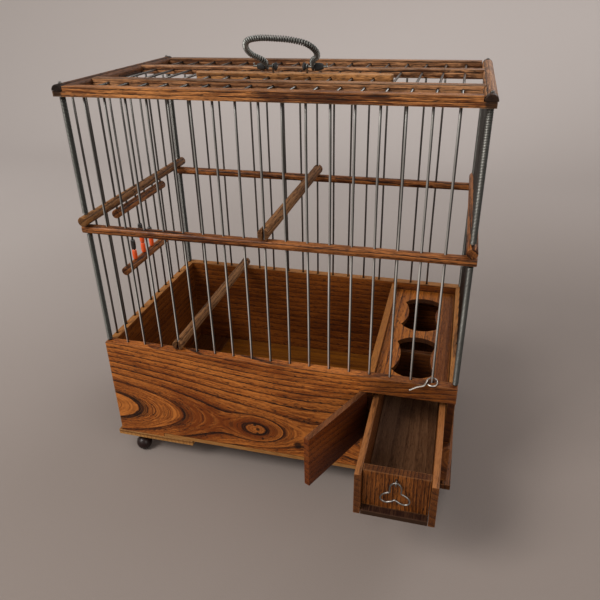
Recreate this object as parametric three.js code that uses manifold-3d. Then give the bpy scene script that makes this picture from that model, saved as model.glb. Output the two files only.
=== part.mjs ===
// Wooden breeding cage for a canary: a boarded base with a feeder drawer, wire walls threaded
// through bored rails, a lift-up side door, two perches and a sprung carrying handle.
// Millimetres, +Z up, the front faces -Y. Modelled about the middle of the cage, standing on z = 0.

import * as THREE from 'three';
import { mergeVertices, mergeGeometries } from 'three/addons/utils/BufferGeometryUtils.js';
import Module from 'manifold-3d';

const wasm = await Module();
wasm.setup();

// ---------------------------------------------------------------- driving dimensions

// fits
const seatGap = 0.3; // between pieces that seat on, or pass through, each other
const slideGap = 0.5; // at each side of the drawer
const cutPast = 1; // how far a cutting body reaches past what it cuts

// wire grid
const wireDia = 1.8;
const wirePitch = 16;
const wireSeatInBase = 10;
const wireSeatInRail = 1.7;
const cornerClear = 8; // least room between a corner post and the next wire

// corner posts: a steel rod in two spring sleeves
const postSpanX = 290;
const postSpanY = 167.4;
const postDia = 2.4;
const postSleeveDia = 4.6;
const postTip = 1.2; // what stands out of the top rails

// base
const footHeight = 18.4;
const footBallDia = 14;
const footNeckDia = 7;
const footFlat = 0.5;
const footInsetX = 20; // from a foot board's outer edge to the middle of a foot
const footInsetY = 7; // from the base's front or back face
const footBoardThick = 5;
const footBoardWidth = 74;
const footBoardLip = 4; // how far a foot board stands out past the side board
const baseHeight = 96;
const endBoardThick = 8; // front and back boards
const endBoardOut = 5.3; // their outer faces, from the line of wires
const sideBoardThick = 6.5;
const sideBoardOut = 2;
const trayThick = 3.8;
const trayGuideWidth = 36;

// feeder bay
const bayWidth = 57;
const partitionThick = 5.5;
const partitionDrop = 1.5; // below the base's top edge
const doorHeadHeight = 14; // strip of the front board above the feeder door
const doorWayHeight = 44;
const doorWayReveal = 4.5; // opening to the left of the partition
const doorThick = 4.5;
const doorPivotIn = 1.3; // hinge pins behind the door's front face
const doorPivotFromEdge = 2.4; // and in from the doorway's left edge
const doorHingeGap = 0.4; // beside the doorway's left edge, so that the corner turns clear
const doorPinDia = 1.4;
const doorPinSeat = 5; // depth of a pin in the door
const doorPinReach = 7; // and in the front board
const doorAngle = 115.3; // open, from closed
const lidDrop = 7.5;
const lidThick = 4.5;
const feederHoleHalfWidth = 17.2;
const feederHoleHalfLength = 21.5; // horn to horn
const feederHoleEndRise = 9.5;
const feederHoleSideDip = 5;
const feederHolePitch = 73.5;
const feederHoleShift = -3.75;
const shelfThick = 4;

// drawer
const drawerHeight = 36;
const drawerLength = 162;
const drawerPull = 87.5; // drawn out, as it stands
const drawerShutIn = 6.5; // behind the front board's outer face when it is shut
const drawerWall = 4.7;
const drawerFrontThick = 6.5;
const drawerFrontIn = 5.5;
const drawerFloorThick = 4;
const pullWireDia = 1.5;
const pullEyeWireDia = 1.2;
const pullEyeBore = 2.4;
const pullEyeDrop = 4.6; // below the drawer front's top edge
const pullEyeOut = 2.8;
const pullShank = 3.5;
const pullRadius = 8.4;
const pullLobe = 2.6;

// latch: a wire hook whose eye is looped round the foot of a front wire
const latchWireDia = 1.3;
const latchEyeWidth = 7.8;
const latchEyeLength = 10.4;
const latchTilt = 10; // its front end droops over the board's edge
const latchKneeX = 5.5; // the arm's knee and tip, from the wire to the left and to the front
const latchKneeY = 6.8;
const latchTipX = 16;
const latchTipY = 13.8;

// middle rails
const midRailRise = 102; // axis of the front one above the base's top edge
const midRailHeight = 6.5;
const midRailDepth = 7.5;
const midRailOver = 4; // its ends, past the corner posts
const sideMidRailDia = 8;
const sideMidRailFront = 6.3; // its ends, past the corner posts
const sideMidRailBack = 8.3;

// top rails
const topRailRise = 202; // underside above the base's top edge
const topRailHeight = 7;
const topRailDepth = 8;
const topRailOut = 5.5; // outer face from the line of wires
const topRailOver = 3.5; // their ends, past the corner posts
const sideTopRailDia = 8.4;
const sideTopRailLift = 0.4; // its axis above the middle of the front and back rails
const topWireRise = 3.6; // axis of the top wires above the underside
const topWireSeat = 3.5;
const crossRailDepth = 8;
const crossRailTrim = 2.8; // past the middle of the side rail, where the cope's edges are cut off
const frontCrossRailY = -45.5;
const backCrossRailY = 32;
const handleBoardY = -4.5;
const handleBoardX = 1;
const handleBoardLength = 154;
const handleBoardDepth = 9;
const handleBoardRound = 3.5;

// side door: four wires tied by a bar, lifted through the rails
const sideDoorWires = 4;
const sideDoorSeat = 3;
const sideDoorBarRise = 46; // axis above the base's top edge
const sideDoorBarDia = 7.6;
const sideDoorBarOver = 3.5; // past the guide wires
const lintelGap = 2.4; // under the side rail
const beadLength = 9.3;
const beadDia = 4.8;
const beadGap = 0.2;

// perches
const perchDia = 9;
const perchOver = 3.5; // past the wires that its ends grip
const upperPerchWire = 0; // counted from the middle wire
const lowerPerchWire = -5;

// handle
const handleX = 0;
const handlePivotRise = 4.5; // above the handle board
const handleLean = 52; // from upright, towards the front
const bailWireDia = 1.8;
const bailFootX = 18;
const bailHalfWidth = 24.4;
const bailHeight = 34.5;
const bailFootSplay = 1.2;
const bailShape = [[0.975, 0.42], [1, 0.66], [0.82, 0.88], [0.42, 0.985]]; // shares of half width and height
const bailEyeDia = 5.4;
const springWireDia = 1.1;
const springDia = 4.6;
const springCurls = 46;
const springFootClear = 1.2; // between the bail's eye and its spring
const handlePinDia = 1.6;
const handlePinInner = 9.5;
const handlePinOuter = 29;
const handleEyeX = 13.3;
const handleEyeWireDia = 1.3;
const handleEyeGrip = 0.1; // how deep the eye's wire bites into the pin
const handleEyeShank = 5;
const grommetDia = 6.2;
const grommetRound = 0.8;
const innerGrommetLength = 2.4;
const outerGrommetLength = 6.8;

// facets
const wireSides = 6;
const postSides = 8;
const dowelSides = 14;
const roundSides = 16;

// ---------------------------------------------------------------- derived places

const footBoardZ = footHeight + seatGap;
const baseZ = footBoardZ + footBoardThick + seatGap;
const baseTopZ = baseZ + baseHeight;
const trayTopZ = baseZ + trayThick;
const midRailZ = baseTopZ + midRailRise;
const sideMidRailZ = midRailZ + midRailHeight / 2 + seatGap + sideMidRailDia / 2;
const topRailZ = baseTopZ + topRailRise;
const topZ = topRailZ + topRailHeight;
const sideTopRailZ = topRailZ + topRailHeight / 2 + sideTopRailLift;
const topWireZ = topRailZ + topWireRise;

const baseHalfX = postSpanX / 2 + sideBoardOut;
const baseHalfY = postSpanY / 2 + endBoardOut;
const innerHalfX = baseHalfX - sideBoardThick;
const innerHalfY = baseHalfY - endBoardThick;

const bayRight = innerHalfX;
const bayLeft = bayRight - bayWidth;
const bayMiddle = (bayLeft + bayRight) / 2;
const partitionLeft = bayLeft - partitionThick;
const doorWayTop = baseTopZ - doorHeadHeight;
const doorWayBottom = doorWayTop - doorWayHeight;
const doorWayLeft = partitionLeft - doorWayReveal;
const lidTopZ = baseTopZ - lidDrop;
const shelfTopZ = doorWayBottom;

const drawerZ = shelfTopZ + seatGap;
const drawerWidth = bayWidth - 2 * slideGap;
const drawerShutY = -baseHalfY + drawerShutIn;
const drawerFrontY = drawerShutY - drawerPull;

// wires of one wall, as places along it: an odd count has one in the middle
function wirePlaces(span, odd) {
  const reach = span / 2 - cornerClear - wirePitch * (odd ? 0 : 0.5);
  const each = Math.floor(reach / wirePitch);
  const places = [];
  for (let i = -each; i <= each + (odd ? 0 : 1); i += 1) {
    places.push((odd ? i : i - 0.5) * wirePitch);
  }
  return places;
}

const longPlaces = wirePlaces(postSpanX, true);
const shortPlaces = wirePlaces(postSpanY, false);

// ---------------------------------------------------------------- solids

function bare(geometry) {
  const plain = geometry.clone();
  plain.deleteAttribute('normal');
  plain.deleteAttribute('uv');
  return mergeVertices(plain, 1e-4);
}

function toSolid(geometry) {
  const shared = bare(geometry);
  const mesh = new wasm.Mesh({
    numProp: 3,
    vertProperties: new Float32Array(shared.attributes.position.array),
    triVerts: new Uint32Array(shared.index.array),
  });
  return new wasm.Manifold(mesh);
}

function toGeometry(solid) {
  const mesh = solid.getMesh();
  const geometry = new THREE.BufferGeometry();
  geometry.setAttribute('position', new THREE.BufferAttribute(mesh.vertProperties, 3));
  geometry.setIndex(new THREE.BufferAttribute(mesh.triVerts, 1));
  return geometry;
}

function cut(geometry, ...tools) {
  return toGeometry(tools.reduce((left, tool) => left.subtract(toSolid(tool)), toSolid(geometry)));
}

function fuse(...geometries) {
  return toGeometry(geometries.map(toSolid).reduce((sum, next) => sum.add(next)));
}

// separate solids that share one node
function together(geometries) {
  return mergeGeometries(geometries.map(bare));
}

function block([x0, x1], [y0, y1], [z0, z1]) {
  const box = new THREE.BoxGeometry(x1 - x0, y1 - y0, z1 - z0);
  return box.translate((x0 + x1) / 2, (y0 + y1) / 2, (z0 + z1) / 2);
}

function polygon(radius, sides, turn = 0) {
  const points = [];
  for (let i = 0; i < sides; i += 1) {
    const a = turn + (i / sides) * 2 * Math.PI;
    points.push(new THREE.Vector2(radius * Math.cos(a), radius * Math.sin(a)));
  }
  return new THREE.Shape(points);
}

function extrude(shape, depth, curveSegments = 8) {
  return new THREE.ExtrudeGeometry(shape, { depth, bevelEnabled: false, steps: 1, curveSegments });
}

// round bar standing on z0, about the z axis
function rod(dia, z0, z1, sides = wireSides) {
  return extrude(polygon(dia / 2, sides, Math.PI / sides), z1 - z0).translate(0, 0, z0);
}

// the same along x
function dowel(dia, x0, x1, sides = dowelSides) {
  return rod(dia, x0, x1, sides).rotateY(Math.PI / 2);
}

// bore that leaves the seat gap round a bar of the same sides
function boreDia(dia, sides = wireSides) {
  return dia + (2 * seatGap) / Math.cos(Math.PI / sides);
}

function bore(dia, z0, z1, sides = wireSides) {
  return rod(boreDia(dia, sides), z0, z1, sides);
}

// a piece repeated at places along x
function along(places, make) {
  return places.map((x) => make(x).translate(x, 0, 0));
}

// profile of (radius, height) pairs turned about z
function turned(profile, sides = roundSides) {
  const points = profile.map(([r, z]) => new THREE.Vector2(r, z));
  return new THREE.LatheGeometry(points, sides, Math.PI / sides).rotateX(Math.PI / 2);
}

// ring of wire in the yz plane, about the x axis
function wireRing(outerDia, dia, around = 12, sides = wireSides) {
  const ring = new THREE.TorusGeometry((outerDia - dia) / 2, dia / 2, sides, around);
  return ring.rotateY(Math.PI / 2);
}

const finishes = {
  oak: { color: 0x9c5a22, roughness: 0.45, metalness: 0 },
  darkOak: { color: 0x6e3a16, roughness: 0.5, metalness: 0 },
  paleWood: { color: 0xb98347, roughness: 0.6, metalness: 0 },
  perchWood: { color: 0x8a6a48, roughness: 0.8, metalness: 0 },
  steel: { color: 0x9a9a96, roughness: 0.35, metalness: 1 },
  black: { color: 0x15110f, roughness: 0.3, metalness: 0 },
  rubber: { color: 0x141210, roughness: 0.8, metalness: 0 },
  darkKnob: { color: 0x1e120c, roughness: 0.3, metalness: 0 },
  orange: { color: 0xd9481a, roughness: 0.35, metalness: 0 },
};

function piece(name, geometry, finish) {
  const mesh = new THREE.Mesh(geometry, new THREE.MeshStandardMaterial(finishes[finish]));
  mesh.name = name;
  return mesh;
}

function assembly(...children) {
  const group = new THREE.Group();
  group.add(...children);
  return group;
}

// ---------------------------------------------------------------- walls

// A wall is built in its own frame: x along it, the line of wires on y = 0, outwards -y.
function wireBores(places, z0, z1) {
  return along(places, () => bore(wireDia, z0, z1));
}

function postBores(span, z0, z1) {
  return along([-span / 2, span / 2], () => bore(postDia, z0, z1, postSides));
}

// upright wires fixed in the bar that ties them
function wireGrid(name, bar, places) {
  const bottom = baseTopZ - wireSeatInBase;
  const top = topRailZ + wireSeatInRail;
  return piece(name, fuse(bar, together(along(places, () => rod(wireDia, bottom, top)))), 'steel');
}

function boardBores(places) {
  return wireBores(places, baseTopZ - wireSeatInBase - seatGap, baseTopZ + cutPast);
}

// end boards carry the corner posts too
function endBoardBores() {
  const depth = baseTopZ - wireSeatInBase - seatGap;
  return [...boardBores(longPlaces), ...postBores(postSpanX, depth, baseTopZ + cutPast)];
}

function backBoard() {
  const y = [-endBoardOut, endBoardThick - endBoardOut];
  const board = block([-baseHalfX, baseHalfX], y, [baseZ, baseTopZ]);
  return piece('back_board', cut(board, ...endBoardBores()), 'oak');
}

// one board with the feeder doorway cut in from its right end and a slot for the tray below
function frontBoard() {
  const slotTop = trayTopZ + seatGap;
  const slotLeft = -innerHalfX + trayGuideWidth;
  const outline = new THREE.Shape();
  outline.moveTo(-baseHalfX, baseZ);
  outline.lineTo(slotLeft, baseZ);
  outline.lineTo(slotLeft, slotTop);
  outline.lineTo(baseHalfX, slotTop);
  outline.lineTo(baseHalfX, doorWayBottom);
  outline.lineTo(doorWayLeft, doorWayBottom);
  outline.lineTo(doorWayLeft, doorWayTop);
  outline.lineTo(baseHalfX, doorWayTop);
  outline.lineTo(baseHalfX, baseTopZ);
  outline.lineTo(-baseHalfX, baseTopZ);
  outline.closePath();
  const board = extrude(outline, endBoardThick).rotateX(Math.PI / 2);
  board.translate(0, endBoardThick - endBoardOut, 0);
  const { x, y } = doorPivot();
  const pinBores = doorPinBores().map((pin) => pin.translate(x, y + postSpanY / 2, 0));
  return piece('front_board', cut(board, ...endBoardBores(), ...pinBores), 'oak');
}

function sideBoard(name) {
  const x = [-innerHalfY + seatGap, innerHalfY - seatGap];
  const y = [-sideBoardOut, sideBoardThick - sideBoardOut];
  const board = block(x, y, [baseZ, baseTopZ]);
  return piece(name, cut(board, ...boardBores(shortPlaces)), 'oak');
}

// rounded bar on the line of wires, bored for the posts
function midRail() {
  const w = midRailDepth / 2;
  const h = midRailHeight / 2;
  const soft = 0.62; // share of each half side that stays flat
  const outline = new THREE.Shape();
  outline.moveTo(w, -h * soft);
  outline.lineTo(w, h * soft);
  outline.quadraticCurveTo(w, h, w * soft, h);
  outline.lineTo(-w * soft, h);
  outline.quadraticCurveTo(-w, h, -w, h * soft);
  outline.lineTo(-w, -h * soft);
  outline.quadraticCurveTo(-w, -h, -w * soft, -h);
  outline.lineTo(w * soft, -h);
  outline.quadraticCurveTo(w, -h, w, -h * soft);
  const length = postSpanX + 2 * midRailOver;
  const bar = extrude(outline, length, 2).rotateX(Math.PI / 2).rotateZ(Math.PI / 2);
  bar.translate(-length / 2, 0, midRailZ);
  return cut(bar, ...postBores(postSpanX, midRailZ - midRailHeight, midRailZ + midRailHeight));
}

// round side rail that lies on the front and back ones, with bores for loose wires
function sideMidRail(start, end, loose) {
  const x = [-postSpanY / 2 - start, postSpanY / 2 + end];
  const bar = dowel(sideMidRailDia, ...x).translate(0, 0, sideMidRailZ);
  const span = [sideMidRailZ - sideMidRailDia, sideMidRailZ + sideMidRailDia];
  return cut(bar, ...wireBores(loose, ...span), ...postBores(postSpanY, ...span));
}

// front or back top rail, its ends halved to take the side rails' tongues
function topRail(name) {
  const inner = topRailDepth - topRailOut;
  const end = postSpanX / 2 + topRailOver;
  const bar = block([-end, end], [-topRailOut, inner], [topRailZ, topZ]);
  const lapStart = postSpanX / 2 - sideTopRailDia / 2 - seatGap;
  const lapZ = sideTopRailZ - seatGap;
  const laps = [-1, 1].map((side) => {
    const x = side < 0 ? [-2 * end, -lapStart] : [lapStart, 2 * end];
    return block(x, [-topRailDepth * 2, topRailDepth * 2], [lapZ, topZ + cutPast]);
  });
  const wires = wireBores(longPlaces, topRailZ - cutPast, topRailZ + wireSeatInRail + seatGap);
  const posts = postBores(postSpanX, topRailZ - cutPast, topZ + cutPast);
  const topBores = along(longPlaces, () => topBore(inner - topWireSeat - seatGap, inner + cutPast));
  return piece(name, cut(bar, ...laps, ...wires, ...posts, ...topBores), 'oak');
}

// bore for a top wire, along y
function topBore(y0, y1) {
  return bore(wireDia, y0, y1).rotateX(-Math.PI / 2).translate(0, 0, topWireZ);
}

// round side rail of the top; only its upper half reaches out over the halved ends
function sideTopRail(name, through) {
  const half = postSpanY / 2 + topRailOut;
  const shoulder = postSpanY / 2 + topRailOut - topRailDepth - seatGap;
  const bar = dowel(sideTopRailDia, -half, half).translate(0, 0, sideTopRailZ);
  const below = [topRailZ - sideTopRailDia, sideTopRailZ];
  const wide = [-sideTopRailDia, sideTopRailDia];
  const end = half + cutPast;
  const laps = [block([-end, -shoulder], wide, below), block([shoulder, end], wide, below)];
  const blind = shortPlaces.filter((x) => !through.includes(x));
  const lowest = sideTopRailZ - sideTopRailDia;
  const highest = sideTopRailZ + sideTopRailDia;
  const seats = wireBores(blind, lowest, topRailZ + wireSeatInRail + seatGap);
  const runs = wireBores(through, lowest, highest);
  const posts = postBores(postSpanY, lowest, highest);
  return piece(name, cut(bar, ...laps, ...seats, ...runs, ...posts), 'oak');
}

const doorPlaces = shortPlaces.filter((x) => Math.abs(x) < (sideDoorWires / 2) * wirePitch);
const fixedPlaces = shortPlaces.filter((x) => !doorPlaces.includes(x));
const guideReach = (sideDoorWires / 2 + 0.5) * wirePitch;
const guidePlaces = fixedPlaces.filter((x) => Math.abs(x) <= guideReach);

// ---------------------------------------------------------------- side door

const sideDoorBarZ = baseTopZ + sideDoorBarRise;
const lintelZ = sideMidRailZ - sideMidRailDia / 2 - lintelGap - sideDoorBarDia / 2;

// round cross bar that reaches past the two guide wires, with bores for the wires named
function crossBar(z, bored) {
  const reach = guideReach + sideDoorBarOver;
  const span = [z - sideDoorBarDia, z + sideDoorBarDia];
  return cut(dowel(sideDoorBarDia, -reach, reach).translate(0, 0, z), ...wireBores(bored, ...span));
}

// the door's wires are fixed in its bar, which runs on the guide wires; beads lie on the bar
function sideDoor() {
  const wires = along(doorPlaces, () => rod(wireDia, baseTopZ - sideDoorSeat, topZ));
  const leaf = fuse(crossBar(sideDoorBarZ, guidePlaces), together(wires));
  const firstBeadZ = sideDoorBarZ + sideDoorBarDia / 2 + beadGap;
  const stack = (x, colours) => {
    return colours.map((colour, level) => {
      const place = bead().translate(x, 0, firstBeadZ + level * (beadLength + beadGap));
      return piece(`bead_${colour}_${Math.round(doorPlaces.indexOf(x) + 1)}_${level + 1}`, place, colour);
    });
  };
  const [, second, third, fourth] = doorPlaces;
  return [
    piece('side_door', leaf, 'steel'),
    piece('side_door_lintel', crossBar(lintelZ, [...doorPlaces, ...guidePlaces]), 'oak'),
    ...stack(second, ['orange', 'black']),
    ...stack(third, ['orange', 'orange', 'black']),
    ...stack(fourth, ['orange', 'black']),
  ];
}

// barrel bead standing on z = 0
function bead() {
  const inner = wireDia / 2 + seatGap;
  const outer = beadDia / 2;
  const soft = 1;
  const profile = [
    [inner, 0],
    [outer - soft, 0],
    [outer, soft],
    [outer, beadLength - soft],
    [outer - soft, beadLength],
    [inner, beadLength],
    [inner, 0],
  ];
  return turned(profile, 8);
}

// ---------------------------------------------------------------- top

function topBores(places, y, depth) {
  return along(places, () => topBore(y - depth, y + depth));
}

// full-width rail between the side rails, its ends coped to their round
function crossRail(y) {
  const half = postSpanX / 2 - crossRailTrim;
  const ys = [y - crossRailDepth / 2, y + crossRailDepth / 2];
  const copes = [-1, 1].map((side) => {
    const cope = dowel(boreDia(sideTopRailDia, dowelSides), -crossRailDepth, crossRailDepth);
    return cope.rotateZ(Math.PI / 2).translate((side * postSpanX) / 2, y, sideTopRailZ);
  });
  return cut(block([-half, half], ys, [topRailZ, topZ]), ...copes);
}

function frontCrossRail() {
  const rail = crossRail(frontCrossRailY);
  return piece('front_cross_rail', cut(rail, ...topBores(longPlaces, frontCrossRailY, crossRailDepth)), 'oak');
}

// the back cross rail with the top wires fixed in it
function topGrid() {
  const end = postSpanY / 2 + topRailOut - topRailDepth + topWireSeat;
  const wire = () => rod(wireDia, -end, end).rotateX(-Math.PI / 2).translate(0, 0, topWireZ);
  return piece('top_grid', fuse(crossRail(backCrossRailY), together(along(longPlaces, wire))), 'steel');
}

// short round-ended board in the middle that takes the handle
function handleBoard() {
  const w = handleBoardLength / 2;
  const d = handleBoardDepth / 2;
  const r = handleBoardRound;
  const outline = new THREE.Shape();
  outline.moveTo(-w + r, -d);
  outline.lineTo(w - r, -d);
  outline.absarc(w - r, -d + r, r, -Math.PI / 2, 0);
  outline.absarc(w - r, d - r, r, 0, Math.PI / 2);
  outline.absarc(-w + r, d - r, r, Math.PI / 2, Math.PI);
  outline.absarc(-w + r, -d + r, r, Math.PI, Math.PI * 1.5);
  const solid = extrude(outline, topRailHeight, 3).translate(handleBoardX, handleBoardY, topRailZ);
  const shanks = [-1, 1].map((side) => {
    const shank = bore(handleEyeWireDia, topZ - handleEyeShank - seatGap, topZ + cutPast);
    return shank.translate(handleX + side * handleEyeX, handleBoardY, 0);
  });
  const places = longPlaces.filter((x) => Math.abs(x - handleBoardX) < w + wireDia);
  const bores = topBores(places, handleBoardY, handleBoardDepth);
  return piece('handle_board', cut(solid, ...bores, ...shanks), 'paleWood');
}

// ---------------------------------------------------------------- corner posts

function corners(make) {
  const made = [];
  for (const [side, x] of [['left', -1], ['right', 1]]) {
    for (const [end, y] of [['front', -1], ['back', 1]]) {
      made.push(make(`${end}_${side}`, (x * postSpanX) / 2, (y * postSpanY) / 2));
    }
  }
  return made;
}

// steel rod in two close-wound sleeves, one below the middle rails and one above them
function post(corner, x, y) {
  const r = postDia / 2;
  const sleeve = postSleeveDia / 2;
  const tip = Math.max(topZ, sideTopRailZ + sideTopRailDia / 2) + postTip;
  const profile = [
    [0, baseTopZ - wireSeatInBase],
    [r, baseTopZ - wireSeatInBase],
    [r, baseTopZ + seatGap],
    [sleeve, baseTopZ + seatGap],
    [sleeve, midRailZ - midRailHeight / 2 - seatGap],
    [r, midRailZ - midRailHeight / 2 - seatGap],
    [r, sideMidRailZ + sideMidRailDia / 2 + seatGap],
    [sleeve, sideMidRailZ + sideMidRailDia / 2 + seatGap],
    [sleeve, topRailZ - seatGap],
    [r, topRailZ - seatGap],
    [r, tip],
    [0, tip],
  ];
  return piece(`corner_post_${corner}`, turned(profile, postSides).translate(x, y, 0), 'steel');
}

// ---------------------------------------------------------------- underside

// turned ball foot with a neck, its sole cut flat
function foot(corner, x, y) {
  const r = footBallDia / 2;
  const neck = footNeckDia / 2;
  const low = -Math.asin((r - footFlat) / r);
  const high = Math.acos(neck / r);
  const profile = [[0, 0]];
  const steps = 7;
  for (let i = 0; i <= steps; i += 1) {
    const a = low + ((high - low) * i) / steps;
    profile.push([r * Math.cos(a), r - footFlat + r * Math.sin(a)]);
  }
  profile.push([neck, footHeight], [0, footHeight]);
  const footX = Math.sign(x) * (baseHalfX + footBoardLip - footInsetX);
  const footY = Math.sign(y) * (baseHalfY - footInsetY);
  return piece(`foot_${corner}`, turned(profile, 12).translate(footX, footY, 0), 'darkKnob');
}

function footBoard(name, side) {
  const outer = baseHalfX + footBoardLip;
  const xs = [side * outer, side * (outer - footBoardWidth)].sort((a, b) => a - b);
  const zs = [footBoardZ, footBoardZ + footBoardThick];
  return piece(name, block(xs, [-baseHalfY, baseHalfY], zs), 'paleWood');
}

function trayGuide() {
  const xs = [-innerHalfX + seatGap, -innerHalfX + trayGuideWidth - seatGap];
  const ys = [-innerHalfY + seatGap, innerHalfY - seatGap];
  return piece('tray_guide', block(xs, ys, [baseZ, trayTopZ]), 'darkOak');
}

function floorTray() {
  const xs = [-innerHalfX + trayGuideWidth + seatGap, innerHalfX - seatGap];
  const ys = [-baseHalfY, innerHalfY - seatGap];
  return piece('floor_tray', block(xs, ys, [baseZ, trayTopZ]), 'darkOak');
}

// ---------------------------------------------------------------- feeder bay

const bayLength = [-innerHalfY + seatGap, innerHalfY - seatGap];
const bayWidthIn = [bayLeft + seatGap, bayRight - seatGap];

function partition() {
  const zs = [trayTopZ + seatGap, baseTopZ - partitionDrop];
  return piece('feeder_partition', block([partitionLeft, bayLeft], bayLength, zs), 'oak');
}

// opening with round ends and hollow sides that meet in four horns
function feederHole() {
  const w = feederHoleHalfWidth;
  const h = feederHoleHalfLength;
  const endRadius = (w * w + feederHoleEndRise ** 2) / (2 * feederHoleEndRise);
  const endCentre = h + feederHoleEndRise - endRadius;
  const endHalf = Math.asin(w / endRadius);
  const sideRadius = (h * h + feederHoleSideDip ** 2) / (2 * feederHoleSideDip);
  const sideCentre = w - feederHoleSideDip + sideRadius;
  const sideHalf = Math.asin(h / sideRadius);
  const up = Math.PI / 2;
  const hole = new THREE.Path();
  hole.absarc(0, endCentre, endRadius, up + endHalf, up - endHalf, true);
  hole.absarc(sideCentre, 0, sideRadius, Math.PI - sideHalf, Math.PI + sideHalf, false);
  hole.absarc(0, -endCentre, endRadius, -up + endHalf, -up - endHalf, true);
  hole.absarc(-sideCentre, 0, sideRadius, -sideHalf, sideHalf, false);
  return hole;
}

function feederLid() {
  const [x0, x1] = bayWidthIn;
  const [y0, y1] = bayLength;
  const outline = new THREE.Shape([
    new THREE.Vector2(x0, y0),
    new THREE.Vector2(x1, y0),
    new THREE.Vector2(x1, y1),
    new THREE.Vector2(x0, y1),
  ]);
  for (const side of [-1, 1]) {
    const points = feederHole().getPoints(6);
    const y = feederHoleShift + (side * feederHolePitch) / 2;
    outline.holes.push(new THREE.Path(points.map((p) => new THREE.Vector2(p.x + bayMiddle, p.y + y))));
  }
  return piece('feeder_lid', extrude(outline, lidThick).translate(0, 0, lidTopZ - lidThick), 'oak');
}

function drawerShelf() {
  const zs = [shelfTopZ - shelfThick, shelfTopZ];
  return piece('drawer_shelf', block(bayWidthIn, bayLength, zs), 'darkOak');
}

// ---------------------------------------------------------------- drawer

// built with its front ends on y = 0, its left side on x = 0 and its underside on z = 0
function drawerPieces() {
  const w = drawerWidth;
  const ys = [0, drawerLength];
  const inner = [drawerWall + seatGap, w - drawerWall - seatGap];
  const floorTop = drawerFloorThick;
  const wallZ = [floorTop + seatGap, drawerHeight];
  const frontY = [drawerFrontIn, drawerFrontIn + drawerFrontThick];
  const backY = [drawerLength - drawerWall, drawerLength];
  const eyeZ = drawerHeight - pullEyeDrop;
  const shank = bore(pullEyeWireDia, -cutPast, pullShank + seatGap).rotateX(-Math.PI / 2);
  shank.translate(w / 2, drawerFrontIn, eyeZ);
  return [
    piece('drawer_left_side', block([0, drawerWall], ys, [0, drawerHeight]), 'oak'),
    piece('drawer_right_side', block([w - drawerWall, w], ys, [0, drawerHeight]), 'oak'),
    piece('drawer_front', cut(block(inner, frontY, wallZ), shank), 'oak'),
    piece('drawer_back', block(inner, backY, wallZ), 'oak'),
    piece('drawer_floor', block(inner, ys, [0, floorTop]), 'oak'),
    piece('drawer_pull_eye', pullEye().translate(w / 2, drawerFrontIn, eyeZ), 'steel'),
    piece('drawer_pull', pullLoop().translate(w / 2, drawerFrontIn - pullEyeOut, eyeZ), 'steel'),
  ];
}

// screw eye whose ring stands out of the drawer front, its shank along y
function pullEye() {
  const ring = wireRing(pullEyeBore + 2 * pullEyeWireDia, pullEyeWireDia, 10).translate(0, -pullEyeOut, 0);
  const start = -pullEyeOut + (pullEyeBore + pullEyeWireDia) / 2;
  const shank = rod(pullEyeWireDia, start, pullShank).rotateX(-Math.PI / 2);
  return fuse(ring, shank);
}

// closed wire loop with three lobes that hangs in the eye by its upper lobe
class ThreeLobes extends THREE.Curve {
  getPoint(t, target = new THREE.Vector3()) {
    const a = 2 * Math.PI * t;
    const r = pullRadius + pullLobe * Math.cos(3 * a);
    const centre = -pullRadius - pullLobe;
    return target.set(r * Math.sin(a), 0, centre + r * Math.cos(a));
  }
}

function pullLoop() {
  const steps = 30;
  return closedWire((t) => new ThreeLobes().getPoint(t), new THREE.Vector3(0, 1, 0), pullWireDia, steps);
}

// ---------------------------------------------------------------- wire sweeps

// rings of a tube along points, each ring set out from a given outward direction
function tube(centres, outwards, dia, sides, closed) {
  const positions = [];
  const index = [];
  const count = centres.length;
  for (let i = 0; i < count; i += 1) {
    const before = centres[closed ? (i + count - 1) % count : Math.max(i - 1, 0)];
    const after = centres[closed ? (i + 1) % count : Math.min(i + 1, count - 1)];
    const tangent = after.clone().sub(before).normalize();
    const out = outwards[i].clone().addScaledVector(tangent, -tangent.dot(outwards[i])).normalize();
    const across = tangent.clone().cross(out);
    for (let s = 0; s < sides; s += 1) {
      const a = (s / sides) * 2 * Math.PI;
      const p = centres[i].clone();
      p.addScaledVector(out, (dia / 2) * Math.cos(a)).addScaledVector(across, (dia / 2) * Math.sin(a));
      positions.push(p.x, p.y, p.z);
    }
  }
  const rings = closed ? count : count - 1;
  for (let i = 0; i < rings; i += 1) {
    const next = (i + 1) % count;
    for (let s = 0; s < sides; s += 1) {
      const t = (s + 1) % sides;
      index.push(i * sides + s, next * sides + t, next * sides + s);
      index.push(i * sides + s, i * sides + t, next * sides + t);
    }
  }
  if (!closed) {
    const last = (count - 1) * sides;
    for (let s = 1; s < sides - 1; s += 1) {
      index.push(0, s + 1, s);
      index.push(last, last + s, last + s + 1);
    }
  }
  const geometry = new THREE.BufferGeometry();
  geometry.setAttribute('position', new THREE.Float32BufferAttribute(positions, 3));
  geometry.setIndex(index);
  return geometry;
}

function closedWire(pointAt, normal, dia, steps) {
  const centres = [];
  for (let i = 0; i < steps; i += 1) {
    centres.push(pointAt(i / steps));
  }
  return tube(centres, centres.map(() => normal), dia, wireSides, true);
}

// ---------------------------------------------------------------- feeder door

// pivot of the door, just in from the doorway's left edge and the front face
function doorPivot() {
  return { x: doorWayLeft + doorPivotFromEdge, y: -baseHalfY + doorPivotIn };
}

// top and bottom of each pin; both stand in the front board and in the door's edge
const doorPinSpans = {
  top: [doorWayTop - seatGap - doorPinSeat, doorWayTop + doorPinReach],
  bottom: [doorWayBottom - doorPinReach, doorWayBottom + seatGap + doorPinSeat],
};

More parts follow.
